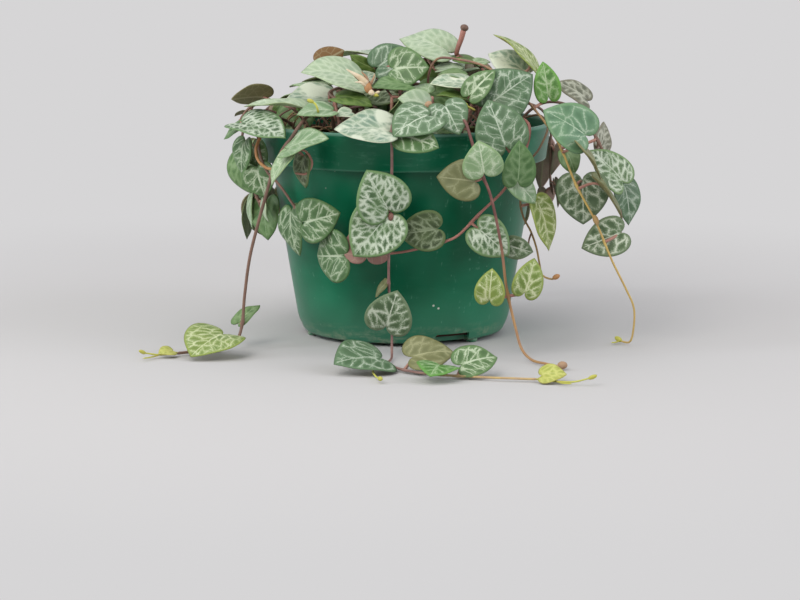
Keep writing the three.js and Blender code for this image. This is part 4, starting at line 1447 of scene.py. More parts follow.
PLANTS = [
    Plant("vine_left_rim", (-34, -9), [
        [(-36, -10, 78), (-42, -12, 83), (-48, -15, 84), (-54, -19, 82), (-57, -22, 78)],
    ], [
        Leaf((-55.5, -30, 78), (-40, -46, 73.5), (-20, 66), Look.SILVER_WEB, 0.62),
        Leaf((-56.5, -27, 76.5), (-62.5, -25, 71.5), (-70, 40), Look.PLAIN, 0.9),
        Leaf((-54.5, -27, 77.5), (-48.5, -25, 81), (10, 70), Look.PLAIN, 0.6),
        Leaf((-55, -14, 80.5), (-59.5, -12, 78.5), (-120, 30), Look.DUSKY),
        Leaf((-48, -6, 85), (-61, -7, 84), (180, 55), Look.OLIVE),
        Leaf((-36, -30, 83.5), (-55.5, -27, 83), (0, 84), Look.SILVERY, 0.5),
    ], [
        # The loop of a bare stem, and a new shoot, at the left.
        Twig(Skin.ORANGE, 0.6, 0.5, (
            (-49, -28, 74), (-51, -31, 69), (-50, -33.5, 65), (-46, -36, 62.5), (-42, -38.5, 64.5),
        )),
        Twig(Skin.SHOOT, 0.42, 0.32, (
            (-29, -43.5, 81.5), (-29.2, -46, 84), (-30, -46, 85.8), (-31.2, -45.8, 86.6),
        )),
        Bead(Skin.SHOOT, (-31.6, -45.8, 86.8), (-0.9, 0.0, 0.35), 1.3, 0.7),
        Twig(Skin.RED, 0.45, 0.35, ((-50, -19, 77.5), (-46, -20, 78.8), (-42, -19, 78), (-38, -17, 76))),
        Twig(Skin.DRY, 0.45, 0.3, ((-40, -6, 70), (-43, -9, 77), (-47, -12, 80))),
        Twig(Skin.BROWN, 0.4, 0.3, ((-46, -8, 72), (-44, -10, 78), (-38, -12, 82))),
        Twig(Skin.TAN, 0.3, 0.2, ((-44, -12, 71), (-42, -13, 76), (-39, -14, 80))),
        Twig(Skin.TAN, 0.28, 0.2, ((-38, -18, 71), (-38.5, -19, 76), (-36, -20, 80))),
    ]),
    Plant("vine_left_side", (-39, -2), [
        [(-42, -3, 77), (-49, -6, 80), (-55, -9, 77), (-57, -12, 70), (-56, -15, 62), (-54, -15, 55),
         (-51, -15, 49), (-49, -14, 43)],
    ], [
        Leaf((-57.5, -6, 64.5), (-51, -10, 50), (-50, 0), Look.PLAIN, 0.95),
        Leaf((-55.5, -23, 70.5), (-56, -23, 58.5), (-55, 0), Look.RIBBED, 0.85),
        Leaf((-52.5, -20, 68.5), (-48, -23, 61.5), (-20, 0), Look.RIBBED, 0.9),
        Leaf((-51, -26, 61.5), (-48, -27, 51.5), (-15, 5), Look.RIBBED),
        Leaf((-54, -5, 49), (-53.5, -7, 37.5), (-80, 0), Look.LIGHT),
        Leaf((-49, -21, 49.5), (-47.5, -21, 42), (-75, 0), Look.SILVERY),
        Leaf((-48.5, -12, 48.5), (-48, -13, 34.5), (-38, -8), Look.PLAIN, 0.85),
    ]),
    Plant("vine_left_wall", (-37, -17), [
        [(-40, -19, 77), (-46, -23, 79), (-50, -26, 76), (-50, -29, 68), (-47, -33, 61), (-43, -35, 57),
         (-37, -38, 49), (-32, -41, 43), (-27, -43, 40)],
    ], [
        Leaf((-34, -45, 45), (-21.5, -50, 49), (-28, 0), Look.RIBBED, 0.95),
        Leaf((-39, -34, 47.5), (-36, -36, 32), (-60, 5), Look.RIBBED, 0.9),
    ]),
    Plant("vine_left_long", (-24, -24), [
        [(-25, -27, 80), (-29, -35, 83), (-34, -43, 80), (-39, -47, 73), (-44, -47, 65), (-46, -46, 58),
         (-50, -44, 44), (-53, -42, 32), (-55, -40, 18), (-56, -40, 8), (-58, -42, 3), (-63, -45, 1.2),
         (-70, -49, 1.1), (-78, -54, 1.1)],
    ], [
        Leaf((-38.5, -53, 69), (-45, -51, 58.5), (-70, 20), Look.LIGHT, 0.8),
        Leaf((-34, -48, 68), (-33.5, -47, 57), (-50, 0), Look.DUSKY, 0.75),
        Leaf((-39, -51, 71), (-25, -57, 75), (0, 64), Look.LIGHT, 0.9),
        Leaf((-25, -41, 83), (-36.5, -44, 81.5), (-5, 73), Look.LIGHT),
        Leaf((-18, -42, 82.5), (-23, -44, 81.5), (0, 60), Look.CREAM),
        Leaf((-62, -50, 7), (-72, -64, 1.5), (-20, 45), Look.FRESH),
        Leaf((-57, -37, 9), (-50, -30, 14), (-40, 20), Look.PLAIN, 0.6),
        Leaf((-79, -54.5, 2), (-83.5, -57.5, 1.5), (-10, 60), Look.YOUNG),
    ], [
        Twig(Skin.STALK, 0.42, 0.36, (
            (-38, -48.5, 71), (-33, -51, 70), (-31, -51.5, 66), (-33, -50.5, 62.5), (-37, -49, 62.5),
        )),
        Twig(Skin.SHOOT, 0.4, 0.25, ((-77, -53.5, 1.3), (-83, -57, 1.2), (-88, -60, 2.4))),
        Twig(Skin.SHOOT, 0.3, 0.2, ((-83, -57, 1.2), (-86, -61, 1.0), (-88, -65, 1.4))),
        Bead(Skin.SHOOT, (-88.6, -60.6, 2.8), (-0.7, -0.5, 0.4), 1.5, 0.65),
    ], stem=StemForm(0.66)),
    Plant("vine_front_long", (-5, -38), [
        [(-5, -41, 77), (-4.5, -46, 79), (-4, -52, 79), (-4, -56.5, 75), (-4, -57, 63), (-5, -56, 50),
         (-5, -55, 37), (-5, -54, 24), (-4, -55, 11), (-4, -57, 4), (-4, -62, 1.2), (-5, -72, 1.1),
         (-2, -82, 1.1), (6, -91, 1.1), (17, -96, 1.1), (30, -99.5, 1.1), (44, -102, 1.1)],
    ], [
        Leaf((-5, -55, 77.5), (-23.5, -55, 77.5), (-5, 65), Look.CREAM),
        Leaf((8.5, -52, 82.5), (-3.5, -60, 76), (-5, 56), Look.FINE_WEB),
        Leaf((-0.5, -57, 76), (12, -61, 72), (5, 35), Look.RIBBED, 0.8),
        Leaf((-5, -59, 51), (-12.5, -61, 65), (0, 8), Look.SILVER_WEB),
        Leaf((-5.5, -57, 49), (-17, -57, 35), (-5, 0), Look.SILVER_WEB, 0.92),
        Leaf((-6, -58, 11), (-2, -60, 24), (0, 5), Look.BOLD_WEB),
        Leaf((-6, -54, 25), (-9.5, -51, 20), (-70, 30), Look.OLIVE, 0.8),
        Leaf((-8, -80, 4), (-23, -90, 4), (-15, 58), Look.FINE_WEB),
        Leaf((3, -83, 5), (17, -79, 6), (20, 60), Look.OLIVE),
        Leaf((12, -95.5, 4.5), (8.5, -107.2, 3), (0, 62), Look.BRIGHT),
        Leaf((19, -93, 4), (31, -88, 6), (10, 55), Look.RIBBED, 0.9),
        Leaf((45, -102, 2.5), (53, -102.8, 3), (5, 60), Look.YOUNG),
    ], [
        Twig(Skin.SHOOT, 0.34, 0.26, ((-6, -77, 1.6), (-10, -86, 1.2), (-9, -97, 1.0), (-8, -102, 1.3))),
        Bead(Skin.SHOOT, (-7.6, -103.6, 1.6), (0.2, -1.0, 0.1), 1.7, 0.8),
        Twig(Skin.SHOOT, 0.4, 0.25, ((43, -102, 1.2), (49, -105, 1.0), (55, -107, 1.2), (60, -108, 2.6))),
        Bead(Skin.SHOOT, (60.9, -108.3, 3.0), (0.9, -0.2, 0.4), 1.6, 0.7),
        Twig(Skin.SHOOT, 0.3, 0.2, ((49, -105, 1.1), (51, -108, 1.0), (54, -111, 1.3))),
        Bead(Skin.RED, (-4.3, -57.6, 48.7), (0.1, 0.1, 1.0), 1.5, 0.95),
    ], skin=Skin.PLUM, stem=StemForm(0.52)),
    Plant("vine_right_long", (20, -36), [
        [(20, -40, 77), (20, -46, 80), (21, -52, 80), (23, -57, 74), (26, -59, 64), (29, -59, 57),
         (33, -58, 39), (35, -57, 24), (38, -58, 11), (40, -60, 4), (43, -66, 1.2), (48, -74, 1.1),
         (52, -79, 1.1)],
    ], [
        Leaf((14, -44.5, 85), (19, -52.5, 75.5), (5, 30), Look.FINE_WEB, 0.85),
        Leaf((24, -60, 61), (11, -60, 62.5), (-10, 10), Look.OLIVE, 0.92),
        Leaf((27, -62, 64), (25, -63, 75), (0, 12), Look.LIGHT, 1.05),
        Leaf((29, -60, 20.5), (30, -60, 31.5), (-8, 0), Look.FRESH, 0.8),
        Leaf((41, -59, 23), (44.5, -57, 34.5), (10, 0), Look.FRESH, 0.75),
    ], [
        Bead(Skin.TUBER, (52.8, -79.8, 1.7), (0.8, -0.5, 0.1), 1.8, 1.35),
    ], skin=Skin.COPPER, stem=StemForm(0.58)),
    Plant("vine_across_front", (32, -26), [
        [(35, -29, 77), (40, -36, 80), (43, -41, 78), (42, -45, 71), (38, -48, 64), (35, -50, 58),
         (26, -51, 49), (18, -51, 41), (13, -51, 39), (-4, -49, 35), (-19, -47, 36)],
    ], [
        Leaf((34.5, -53, 72), (28.5, -49, 87.5), (0, 25), Look.FINE_WEB, 0.9),
        Leaf((38.5, -55, 60.5), (39, -57, 74.5), (15, 5), Look.PLAIN, 0.72),
        Leaf((37, -52, 61), (45, -48, 52), (30, 0), Look.LIGHT, 0.6),
        Leaf((11.5, -53, 44), (-2, -51, 42), (5, -5), Look.DUSKY, 0.88),
        Leaf((25.5, -53, 44), (36, -52, 34.5), (0, 10), Look.SILVER_WEB, 0.82),
        Leaf((36, -47, 37.5), (44.5, -46, 35), (5, -10), Look.BOLD_WEB, 0.8),
        Leaf((-12.5, -52.5, 34), (-12, -52.5, 47), (180, 0), Look.PINK, 1.05),
        Leaf((-20.5, -51.5, 34.5), (-30, -41, 33), (-45, 0), Look.RIBBED, 1.1),
    ], skin=Skin.PINK, stem=StemForm(0.55)),
    Plant("vine_right_wall", (37, -16), [
        [(40, -18, 77), (47, -24, 80), (50, -30, 77), (47, -36, 70), (42, -43, 64), (40, -44, 54),
         (41, -42, 47), (44, -40, 41), (46, -39, 35), (47, -38, 30), (48, -40, 26), (51, -42, 25),
         (52, -45, 26)],
    ], [
        Leaf((46, -42, 51.5), (50, -41, 34.5), (50, 0), Look.FRESH, 0.6),
    ], [
        Bead(Skin.ORANGE, (52.4, -45.4, 26.3), (0.7, -0.4, 0.4), 1.5, 0.9),
        Twig(Skin.BROWN, 0.35, 0.25, ((44, -41, 41), (43, -43, 38), (43.5, -43.5, 34))),
    ], skin=Skin.TAN, stem=StemForm(0.44)),
    Plant("vine_right_arc", (10, -10), [
        [(9, -12, 84), (9, -14, 94), (12, -16, 99), (19, -19, 99), (28, -23, 97), (36, -27, 92),
         (45, -33, 83), (53, -40, 72), (59, -43, 58), (66, -42, 45), (72, -40, 31), (77, -38, 21),
         (80, -36, 14), (80, -35, 6), (79, -33, 1.5), (76, -29, 1.1)],
    ], [
        Leaf((50, -31, 87), (48, -29, 99), (0, 30), Look.BRIGHT, 0.65),
        Leaf((62, -45, 75), (47.5, -44, 83.5), (10, 25), Look.NETTED, 0.88),
        Leaf((61.5, -38, 59), (62, -39, 43.5), (0, 0), Look.BOLD_WEB),
        Leaf((75, -37, 40.5), (61.5, -37, 35), (0, 10), Look.BOLD_WEB, 0.8),
        Leaf((59.5, -47, 72), (67.5, -47, 60), (85, 50), Look.OLIVE, 0.8),
        Leaf((66, -44, 59.5), (75, -44, 46), (85, 40), Look.OLIVE, 0.8),
    ], [
        Bead(Skin.SHOOT, (75.4, -28.4, 1.7), (-0.8, 0.6, 0.4), 1.6, 0.9),
        Twig(Skin.SHOOT, 0.35, 0.2, ((75.8, -28.8, 1.3), (74.4, -30.6, 1.0), (72.6, -32.4, 1.2))),
        Bead(Skin.STRAW, (66, -42.4, 45.6), (-0.4, 0.1, 1.0), 1.9, 1.0),
    ], skin=Skin.STRAW, stem=StemForm(0.46)),
    Plant("vine_right_side", (41, -4), [
        [(43, -5, 78), (50, -8, 83), (59, -14, 82), (66, -19, 74), (71, -23, 64), (73, -25, 56),
         (76, -26, 45), (76, -27, 39)],
    ], [
        Leaf((64, -18, 85), (53, -19, 91), (30, 50), Look.MARBLED, 0.8),
        Leaf((69, -14, 67.5), (71, -10, 76.5), (60, 10), Look.MARBLED),
        Leaf((76, -30, 57.5), (64.5, -30, 68.5), (15, 35), Look.SILVER_WEB, 0.75),
        Leaf((77, -22, 55.5), (79, -22, 41), (40, 0), Look.FINE_WEB, 0.7),
        Leaf((56.5, -26, 67.5), (59.5, -26, 59.5), (40, 0), Look.PLAIN),
    ]),
    Plant("vine_right_back", (34, 18), [
        [(37, 20, 78), (44, 25, 80), (51, 28, 77), (54, 29, 70), (54, 28, 62), (54, 26, 52), (55, 25, 46)],
    ], [
        Leaf((51.5, 31, 64.5), (50.5, 29, 47.5), (150, 0), Look.MAUVE, 0.5),
        Leaf((55.5, 27, 63.5), (54, 24, 53.5), (120, 0), Look.MAUVE, 0.7),
        Leaf((55.5, 22, 51.5), (56.5, 20, 42), (110, 0), Look.MAUVE, 0.6),
        Leaf((52.5, 26, 48), (52, 27, 41), (170, 0), Look.MAUVE, 0.8),
    ]),
    Plant("crown_left", (-20, -4), [
        [(-20, -5, 80), (-22, -8, 88), (-26, -14, 87), (-24, -24, 86)],
        [(-21, -6.5, 84), (-24, -1, 94), (-28.5, 0, 96)],
        [(-21, -6.5, 84), (-28, 0, 84.5), (-33, 4, 82)],
    ], [
        Leaf((-16, -22, 92), (-35.5, -26, 95.5), (-5, 66), Look.SILVERY),
        Leaf((-29.5, 0, 96.5), (-21, 0, 101), (165, 0), Look.RUSTY, 0.8),
        Leaf((-11, -7, 95.5), (-19, -5, 99.5), (20, -40), Look.GRASSY, 0.7),
        Leaf((-22.5, -31, 87), (-10.5, -35, 84), (0, 76), Look.GRASSY),
        Leaf((-25, -12, 84.5), (-41, -16, 85), (0, 68), Look.CREAM),
        Leaf((-26, -17, 81.5), (-38, -15.5, 82.5), (0, 72), Look.SILVERY, 0.85),
        Leaf((-31, 2, 85.5), (-46, 3, 82.5), (-95, 60), Look.LIGHT, 0.95),
    ]),
    Plant("crown_middle", (0, -18), [
        [(0, -18, 80), (-2, -17, 90), (-5, -12, 95), (2, -2, 97), (10, 2, 98)],
        [(-2, -17, 90), (-6, -24, 90), (-4, -32, 87)],
        [(0, -18, 84), (6, -25, 87), (10, -34, 87)],
        [(-6, -24, 90), (-9, -29, 89), (-13, -32, 91), (-17.5, -33, 95)],
        [(0, -18, 84), (2, -8, 85), (3, 2, 84)],
    ], [
        Leaf((-9, -14, 96), (2.5, -12, 102), (-10, 30), Look.FINE_WEB, 0.9),
        Leaf((-3.5, -22, 96), (9, -24, 96.5), (5, 20), Look.RIBBED),
        Leaf((15.5, -2, 101), (-1.5, 3, 105), (0, 60), Look.SILVERY, 0.85),
        Leaf((12.5, -8, 94.5), (21.5, -8.5, 95), (0, 74), Look.SILVERY, 0.8),
        Leaf((1.5, -27, 90.5), (-11, -30, 90), (0, 74), Look.PLAIN),
        Leaf((-15, -14, 90.5), (-9.5, -12, 93.5), (0, 45), Look.CREAM),
        Leaf((0, -33, 86.5), (-6.5, -37, 80), (50, -30), Look.PLAIN, 0.6),
        Leaf((8, -40.5, 85), (-2, -42.5, 87.5), (-5, 42), Look.SILVERY, 0.85),
        Leaf((8.5, -28, 88), (-0.5, -24, 88), (0, 68), Look.LIGHT),
        Leaf((-3, 0, 86), (-15, 4, 84), (-40, 45), Look.DUSKY, 0.95),
        Leaf((8, -1, 85.5), (20, 2, 85), (40, 45), Look.PLAIN, 0.95),
    ], [
        # The round tuber, and the withered flower with its cream petals.
        Bead(Skin.TUBER, (8.6, -42.4, 85.0), (0.3, -0.2, 1.0), 1.55, 1.45),
        Twig(Skin.CREAM, 1.5, 0.15, (
            (-12.4, -34.4, 91.4), (-14.6, -34.8, 93.6), (-17.4, -34.6, 95.4), (-19.8, -34, 96.8),
        )),
        Twig(Skin.CREAM, 0.95, 0.15, ((-12.6, -34.8, 90.8), (-14.4, -35.4, 92.2), (-16.8, -35.4, 92.4))),
        Twig(Skin.TUBER, 0.85, 0.15, ((-12.2, -34.2, 91.4), (-12.8, -34.4, 94), (-14.6, -34.2, 96))),
        Bead(Skin.ORANGE, (-12.2, -34.8, 90.4), (0.2, -0.3, -1.0), 2.1, 1.35),
        Bead(Skin.CREAM, (-11.2, -35.4, 88.9), (0.8, -0.5, -0.6), 1.6, 1.0),
        Twig(Skin.TUBER, 0.75, 0.12, ((-11.6, -34.4, 91.2), (-10.4, -34.4, 93.4), (-9.8, -34.2, 95.2))),
        Bead(Skin.SHOOT, (-9.6, -35.6, 87.9), (1.0, -0.3, -0.2), 1.2, 0.6),
        Bead(Skin.CREAM, (-9.0, -35.4, 88.8), (0.9, -0.2, 0.4), 1.0, 0.5),
        Twig(Skin.STALK, 0.5, 0.4, ((-9, -13, 95.5), (-5, -15.5, 96.3), (0, -17, 97), (3, -17.4, 97.6))),
    ], skin=Skin.RED, stem=StemForm(0.5)),
    Plant("crown_right", (26, -16), [
        [(26, -16, 80), (27, -17, 88), (30, -12, 93), (38, -8, 93)],
        [(26, -16, 84), (22, -26, 88), (24, -34, 86)],
        [(30, -12, 93), (26, -3, 96), (19, -1, 100), (21.5, -2, 109)],
    ], [
        Leaf((21, -32, 86.5), (11, -33.5, 87.5), (0, 80), Look.GRASSY, 0.85),
        Leaf((22.5, -26, 90.5), (9, -27, 91), (0, 74), Look.CREAM),
        Leaf((23, -38, 88), (31.5, -35, 96.5), (-15, 25), Look.RIBBED, 0.65),
        Leaf((19, -3, 98), (29.5, -2, 95), (0, 80), Look.GRASSY),
        Leaf((25.5, -4, 96.5), (31, -2, 97), (0, 70), Look.LIGHT),
        Leaf((42.5, -6, 94), (30, -2, 100), (0, 62), Look.CREAM),
        Leaf((29, -37, 84.5), (44.5, -33, 95), (5, 25), Look.FINE_WEB, 0.88),
        Leaf((46, -9, 95.5), (32, -6, 107.5), (80, 45), Look.FRESH),
        Leaf((21, -18, 93), (12, -18, 93.5), (0, 76), Look.PLAIN),
    ], [
        # The knob on the cut stub, a young shoot, and one bent yellow leaflet.
        Twig(Skin.PINK, 0.8, 1.05, (
            (18.6, -1.6, 99), (19.4, -1.9, 102), (20.6, -2.2, 105.4), (21.4, -2.4, 108.6),
        )),
        Bead(Skin.BROWN, (21.6, -2.4, 109.0), (0.3, -0.1, 1.0), 1.25, 1.5),
        Twig(Skin.SHOOT, 0.5, 0.35, ((24.5, -38.5, 83), (21.5, -40, 84.6), (18.5, -40.5, 86.2))),
        Bead(Skin.SHOOT, (19.6, -40.4, 85.8), (-1.0, -0.2, 0.45), 2.8, 0.95),
    ], skin=Skin.RED, stem=StemForm(0.5)),
]


def polar(turn: float, radius: float, shift: float, height: float) -> Point:
    """A place by its turn from the front, distance from the axis, sideways shift and height."""
    x, y, _ = facing(turn) * radius + facing(turn + 90) * shift
    return (x, y, height)


@dataclass
class FarSide:
    """The plants of the side that the photograph doesn't show, by the same rules as the solids."""

    vines: tuple[tuple[float, float, float, float], ...] = (
        (142, 57, 30, 0), (167, 60, 44, 0), (193, 57, 3, 47), (219, 60, 24, 0), (246, 57, 38, 0),
    )
    root_radius: float = 38
    first_pair: float = 64
    spacing: float = 18.5
    pair_reach: Span = (3, 4)
    pair_length: Span = (13, 16)
    pair_spread: Span = (1, 4)
    pair_turn: Span = (5, 25)
    pair_tilt: Span = (-5, 20)
    tuft_rings: tuple[tuple[float, float, int], ...] = ((35, 88, 7), (26, 94, 4), (18, 99, 3))
    tuft_spread: float = 165
    tuft_length: Span = (15, 18)
    tuft_tilt: float = 55
    tuft_crest: Point = (2, 17, 88)
    tuft_arms: tuple[float, ...] = (108, 145, 180, 215, 252)
    runners: int = 34
    runner_turns: Span = (95, 265)
    runner_radii: Span = (0.55, 0.35)
    vine_seed: int = 7
    vine_look_seed: int = 40
    tuft_seed: int = 3
    tuft_look_seed: int = 33
    undergrowth_seed: int = 21
    storeys: tuple[tuple[int, Point, Point], ...] = (
        (20, (-36, 14, 81), (32, 34, 85)), (5, (-47, -6, 79), (-36, 12, 82)), (7, (4, 6, 91), (28, 14, 95)),
        (2, (-8, 18, 83), (-3, 24, 85)),
    )
    looks: tuple[Look, ...] = (
        Look.SILVER_WEB, Look.RIBBED, Look.FINE_WEB, Look.PLAIN, Look.BOLD_WEB, Look.DUSKY, Look.LIGHT,
    )
    low_looks: tuple[Look, ...] = (Look.GRASSY, Look.DUSKY, Look.MAUVE, Look.PLAIN)
    heap_looks: tuple[Look, ...] = (Look.SILVERY, Look.LIGHT, Look.RIBBED, Look.CREAM, Look.FINE_WEB)

    def vine(self, turn: float, hang: float, low: float, run: float, index: int) -> Plant:
        """A hanging vine with a pair of leaves at even heights, which may trail on the surface.

        Args:
            turn: Its turn from the front.
            hang: Its distance from the axis where it hangs.
            low: The height of its lowest point.
            run: How far it then runs out along the surface.
            index: Its number, which seeds its draws.

        Returns:
            The vine.
        """
        at = partial(polar, turn)
        draw = Dice(self.vine_seed + index).draw
        look = np.random.default_rng(self.vine_look_seed + index)
        path = [at(self.root_radius + 3, 0, 77), at(47, 0, 79.5), at(53, 0, 79), at(hang, 0, 74)]
        leaves = []
        side = draw(-1.5, 1.5)
        height = self.first_pair
        while height > low + 6:
            path.append(at(hang, side, height))
            for hand in (-1, 1):
                reach = draw(*self.pair_reach)
                size = draw(*self.pair_length)
                spread = draw(*self.pair_spread)
                notch = at(hang + 2.5, side + hand * reach, height + draw(-2, 2))
                tip = at(hang + 3.5, side + hand * (reach + spread), max(height - size, 3))
                face = (turn + hand * draw(*self.pair_turn), draw(*self.pair_tilt))
                leaves.append(Leaf(notch, tip, face, self.looks[look.integers(len(self.looks))]))
            side += draw(-2, 2)
            height -= self.spacing
        path.append(at(hang, side, low))
        if run > 0:
            middle = hang + run / 2
            path += [at(hang + 5, side, 1.2), at(middle, side - 3, 1.1), at(hang + run, side - 2, 1.1)]
            for hand in (-1, 1):
                notch = at(middle, side - 3 + hand * 4, 4)
                tip = at(middle + 9, side - 3 + hand * 14, 4)
                leaves.append(Leaf(notch, tip, (turn, 60), Look.FINE_WEB))
            notch, tip = at(hang + run - 1, side, 3), at(hang + run + 6, side + 2, 2.5)
            leaves.append(Leaf(notch, tip, (turn, 60), Look.YOUNG))
        return Plant(f"vine_back_{index + 1}", at(self.root_radius, 0, 0)[:2], [path], leaves)

    def tuft(self) -> Plant:
        """The heap's far half: three rings of leaves that lie on each other like tiles.

        Returns:
            The tuft, with what grows under it.
        """
        draw = Dice(self.tuft_seed).draw
        look = np.random.default_rng(self.tuft_look_seed)
        paths = [[(2, 16, 80), self.tuft_crest, (2, 14, 95)]]
        leaves = []
        for radius, height, count in self.tuft_rings:
            for index in range(count):
                turn = 180 + (index - (count - 1) / 2) * (self.tuft_spread / count) + draw(-4, 4)
                lift = height + draw(-1.5, 1.5)
                size = draw(*self.tuft_length)
                notch = polar(turn, radius - 5, 0, lift)
                tip = polar(turn, radius - 5 + size, draw(-4, 4), lift - draw(1, 5))
                tint = self.heap_looks[look.integers(len(self.heap_looks))]
                leaves.append(Leaf(notch, tip, (turn, self.tuft_tilt), tint))
        for turn in self.tuft_arms:
            paths.append([self.tuft_crest, polar(turn, 24, 0, 86), polar(turn, 33, 0, 82)])
        whole = Plant("crown_back", (2, 16), paths, leaves)
        self.undergrow(whole)
        return whole

    def undergrow(self, whole: Plant) -> None:
        """Fills the heap from below with bare looping runners and small leaves that face in.

        Args:
            whole: The tuft that takes them.
        """
        rng = np.random.default_rng(self.undergrowth_seed)
        for _ in range(self.runners):
            turn = rng.uniform(*self.runner_turns)
            foot = polar(turn, rng.uniform(8, 40), 0, 68.5)
            crest = polar(turn + rng.uniform(-25, 25), rng.uniform(14, 40), 0, rng.uniform(78, 87))
            end = polar(turn + rng.uniform(-50, 50), rng.uniform(12, 42), 0, rng.uniform(72, 84))
            skin = (Skin.DRY, Skin.BROWN, Skin.MAUVE)[rng.integers(3)]
            whole.extras.append(Twig(skin, *self.runner_radii, (foot, crest, end)))
        for count, low, high in self.storeys:
            for _ in range(count):
                x, y, z = rng.uniform(low, high)
                tip = (x + rng.uniform(-4, 4), y - rng.uniform(1, 5), z - rng.uniform(7, 10))
                face = (rng.uniform(-40, 40), rng.uniform(10, 40))
                tint = self.low_looks[rng.integers(len(self.low_looks))]
                whole.leaves.append(Leaf((x, y, z), tip, face, tint))

    def plants(self) -> list[Plant]:
        """All plants of the far side."""
        return [self.vine(*row, index) for index, row in enumerate(self.vines)] + [self.tuft()]


@dataclass
class Carpet:
    """Small young leaves close over the soil, round the roots of the front half's tufts."""

    tufts: tuple[str, ...] = ("crown_left", "crown_middle", "crown_right")
    looks: tuple[Look, ...] = (
        Look.PLAIN, Look.RIBBED, Look.FINE_WEB, Look.LIGHT, Look.DUSKY, Look.SILVERY,
    )
    seed: int = 60
    count: int = 10
    height: Span = (72.8, 74.4)
    reach: Span = (8, 25)
    length: Span = (8, 12)
    sway: float = 100
    slope: float = 5
    tilt: Span = (68, 85)
    notch_limit: float = 40
    tip_limit: float = 45

    def strew(self, tuft: Plant, index: int) -> None:
        """Strews the leaves of one tuft; they show from above.

        Each notch lies at an even draw of turn and reach from the root, and each tip a leaf's
        length on, turned to either side. Both are pulled inside the rim, and it faces nearly up.

        Args:
            tuft: The tuft that takes them.
            index: Its number, which seeds the draws.
        """
        rng = np.random.default_rng(self.seed + index)
        for _ in range(self.count):
            turn = rng.uniform(0, 360)
            root = np.array([*tuft.root, rng.uniform(*self.height)])
            notch = root + facing(turn) * rng.uniform(*self.reach)
            turn += rng.uniform(-self.sway, self.sway)
            tip = notch + facing(turn, rng.uniform(-self.slope, self.slope)) * rng.uniform(*self.length)
            look = self.looks[rng.integers(len(self.looks))]
            face = (rng.uniform(-180, 180), rng.uniform(*self.tilt))
            notch, tip = pulled_in(notch, self.notch_limit), pulled_in(tip, self.tip_limit)
            tuft.leaves.append(Leaf(tuple(notch), tuple(tip), face, look))


# The studio

@dataclass(frozen=True)
class Lamp:
    """A soft box: its place in metres, its width and height, its power in watts and its colour."""

    name: str
    place: Point
    size: tuple[float, float]
    watts: float
    colour: str


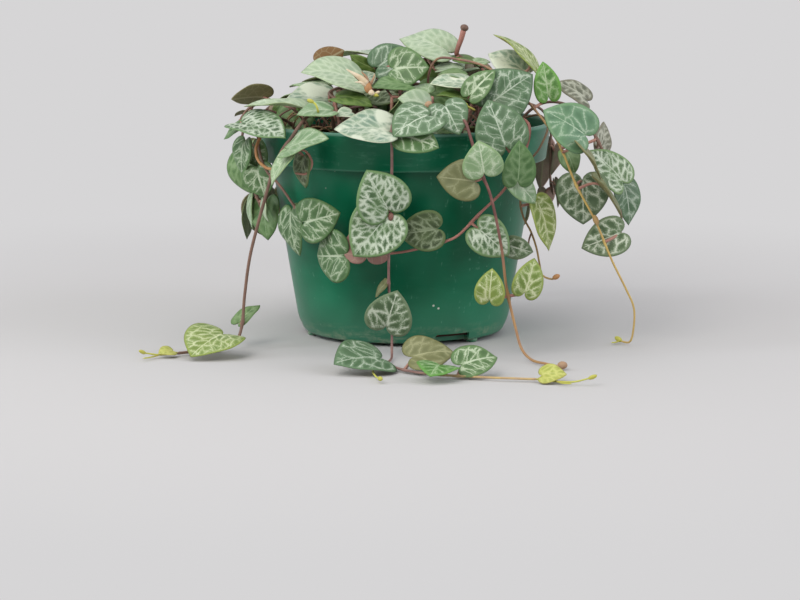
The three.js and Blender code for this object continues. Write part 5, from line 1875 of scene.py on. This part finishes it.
@dataclass
class Studio:
    """A pale floor that melts into its backdrop colour, soft lamps, and the photo's angle."""

    backdrop: str = "#d6d5d6"
    sky: str = "#f2f2f3"
    sky_strength: float = 0.62
    floor_colour: str = "#c1c0c1"
    floor_radius: float = 5.0
    floor_fade: Span = (0.13, 0.36)
    floor_sides: int = 96
    aim: Point = (0.0, 0.0, 0.055)
    camera: Point = (-0.0012, -1.0, 0.1684)
    pitch: float = 0.156
    lens: float = 126.5
    sensor: float = 36.0
    nearest: float = 0.01
    lamps: tuple[Lamp, ...] = (
        Lamp("top", (-0.15, 0.1, 1.3), (1.4, 1.4), 5.5, "#fffdfa"),
        Lamp("key", (-0.45, -0.85, 0.8), (0.6, 0.6), 6.3, "#fffaf2"),
        Lamp("left_strip", (-1.0, -0.3, 0.42), (0.14, 0.9), 4.0, "#f4f9ff"),
        Lamp("right_fill", (0.95, -0.35, 0.45), (0.6, 0.8), 4.4, "#f7f7ff"),
    )

    def floor(self) -> None:
        """Builds a level disc: lit near the part, and plain backdrop colour further out."""
        material, add, shader = start_material("pale paper floor")
        place = add("TexCoord", out="Object")
        reach = add("VectorMath LENGTH", [place], "Value")
        share = add("MapRange", [reach, *self.floor_fade], **SMOOTH)
        feed(shader, {"Base Color": linear(self.floor_colour), "Roughness": 0.9, "Specular IOR Level": 0.1})
        glow = add("Emission", [linear(self.backdrop), 1.0])
        mixed = add("MixShader", [share, shader.outputs[0], glow])
        feed(material.node_tree.nodes["Material Output"], [mixed])
        rim = turned(np.array([[self.floor_radius, 0.0]]), self.floor_sides)[0]
        mesh = bpy.data.meshes.new("floor")
        mesh.from_pydata(rim.tolist(), [], [list(range(self.floor_sides))])
        mesh.materials.append(material)
        disc = bpy.data.objects.new("floor", mesh)
        bpy.context.scene.collection.objects.link(disc)

    def light(self, lamp: Lamp) -> None:
        """Adds one lamp, which points at the part's middle.

        Args:
            lamp: The lamp.
        """
        data = bpy.data.lights.new(lamp.name, "AREA")
        data.shape = "RECTANGLE"
        data.size, data.size_y = lamp.size
        data.energy = lamp.watts
        data.color = linear(lamp.colour)[:3]
        box = bpy.data.objects.new(lamp.name, data)
        box.location = lamp.place
        box.rotation_euler = (Vector(self.aim) - Vector(lamp.place)).to_track_quat("-Z", "Y").to_euler()
        bpy.context.scene.collection.objects.link(box)

    def build(self) -> None:
        """Sets the world, the lamps, the floor, the camera and the colour handling."""
        scene = bpy.context.scene
        self.floor()
        world = bpy.data.worlds.new("studio")
        world.use_nodes = True
        feed(world.node_tree.nodes["Background"], [linear(self.sky), self.sky_strength])
        scene.world = world
        for lamp in self.lamps:
            self.light(lamp)
        data = bpy.data.cameras.new("front")
        data.lens, data.sensor_width, data.clip_start = self.lens, self.sensor, self.nearest
        camera = bpy.data.objects.new("front", data)
        camera.location = self.camera
        camera.rotation_euler = (math.pi / 2 - self.pitch, 0.0, 0.0)
        scene.collection.objects.link(camera)
        scene.camera = camera
        scene.view_settings.view_transform = "Standard"


def main() -> None:
    """Builds the pot, its soil, the plants and the studio."""
    logging.basicConfig(level=logging.INFO, format="%(message)s")
    Pot().build(PotFinish().build())
    colours = dyes()
    fibre = EarthFinish("#5a4430", "#7d6346", "#a58a63").build("fibre")
    Soil().build(EarthFinish().build("peat"), fibre, colours[Skin.DRY])
    carpet = Carpet()
    for index, plant in enumerate(PLANTS + FarSide().plants()):
        if plant.name in carpet.tufts:
            carpet.strew(plant, index)
        plant.build(PLANT_SEED + index, colours)
    Studio().build()


if __name__ == "__main__":
    main()
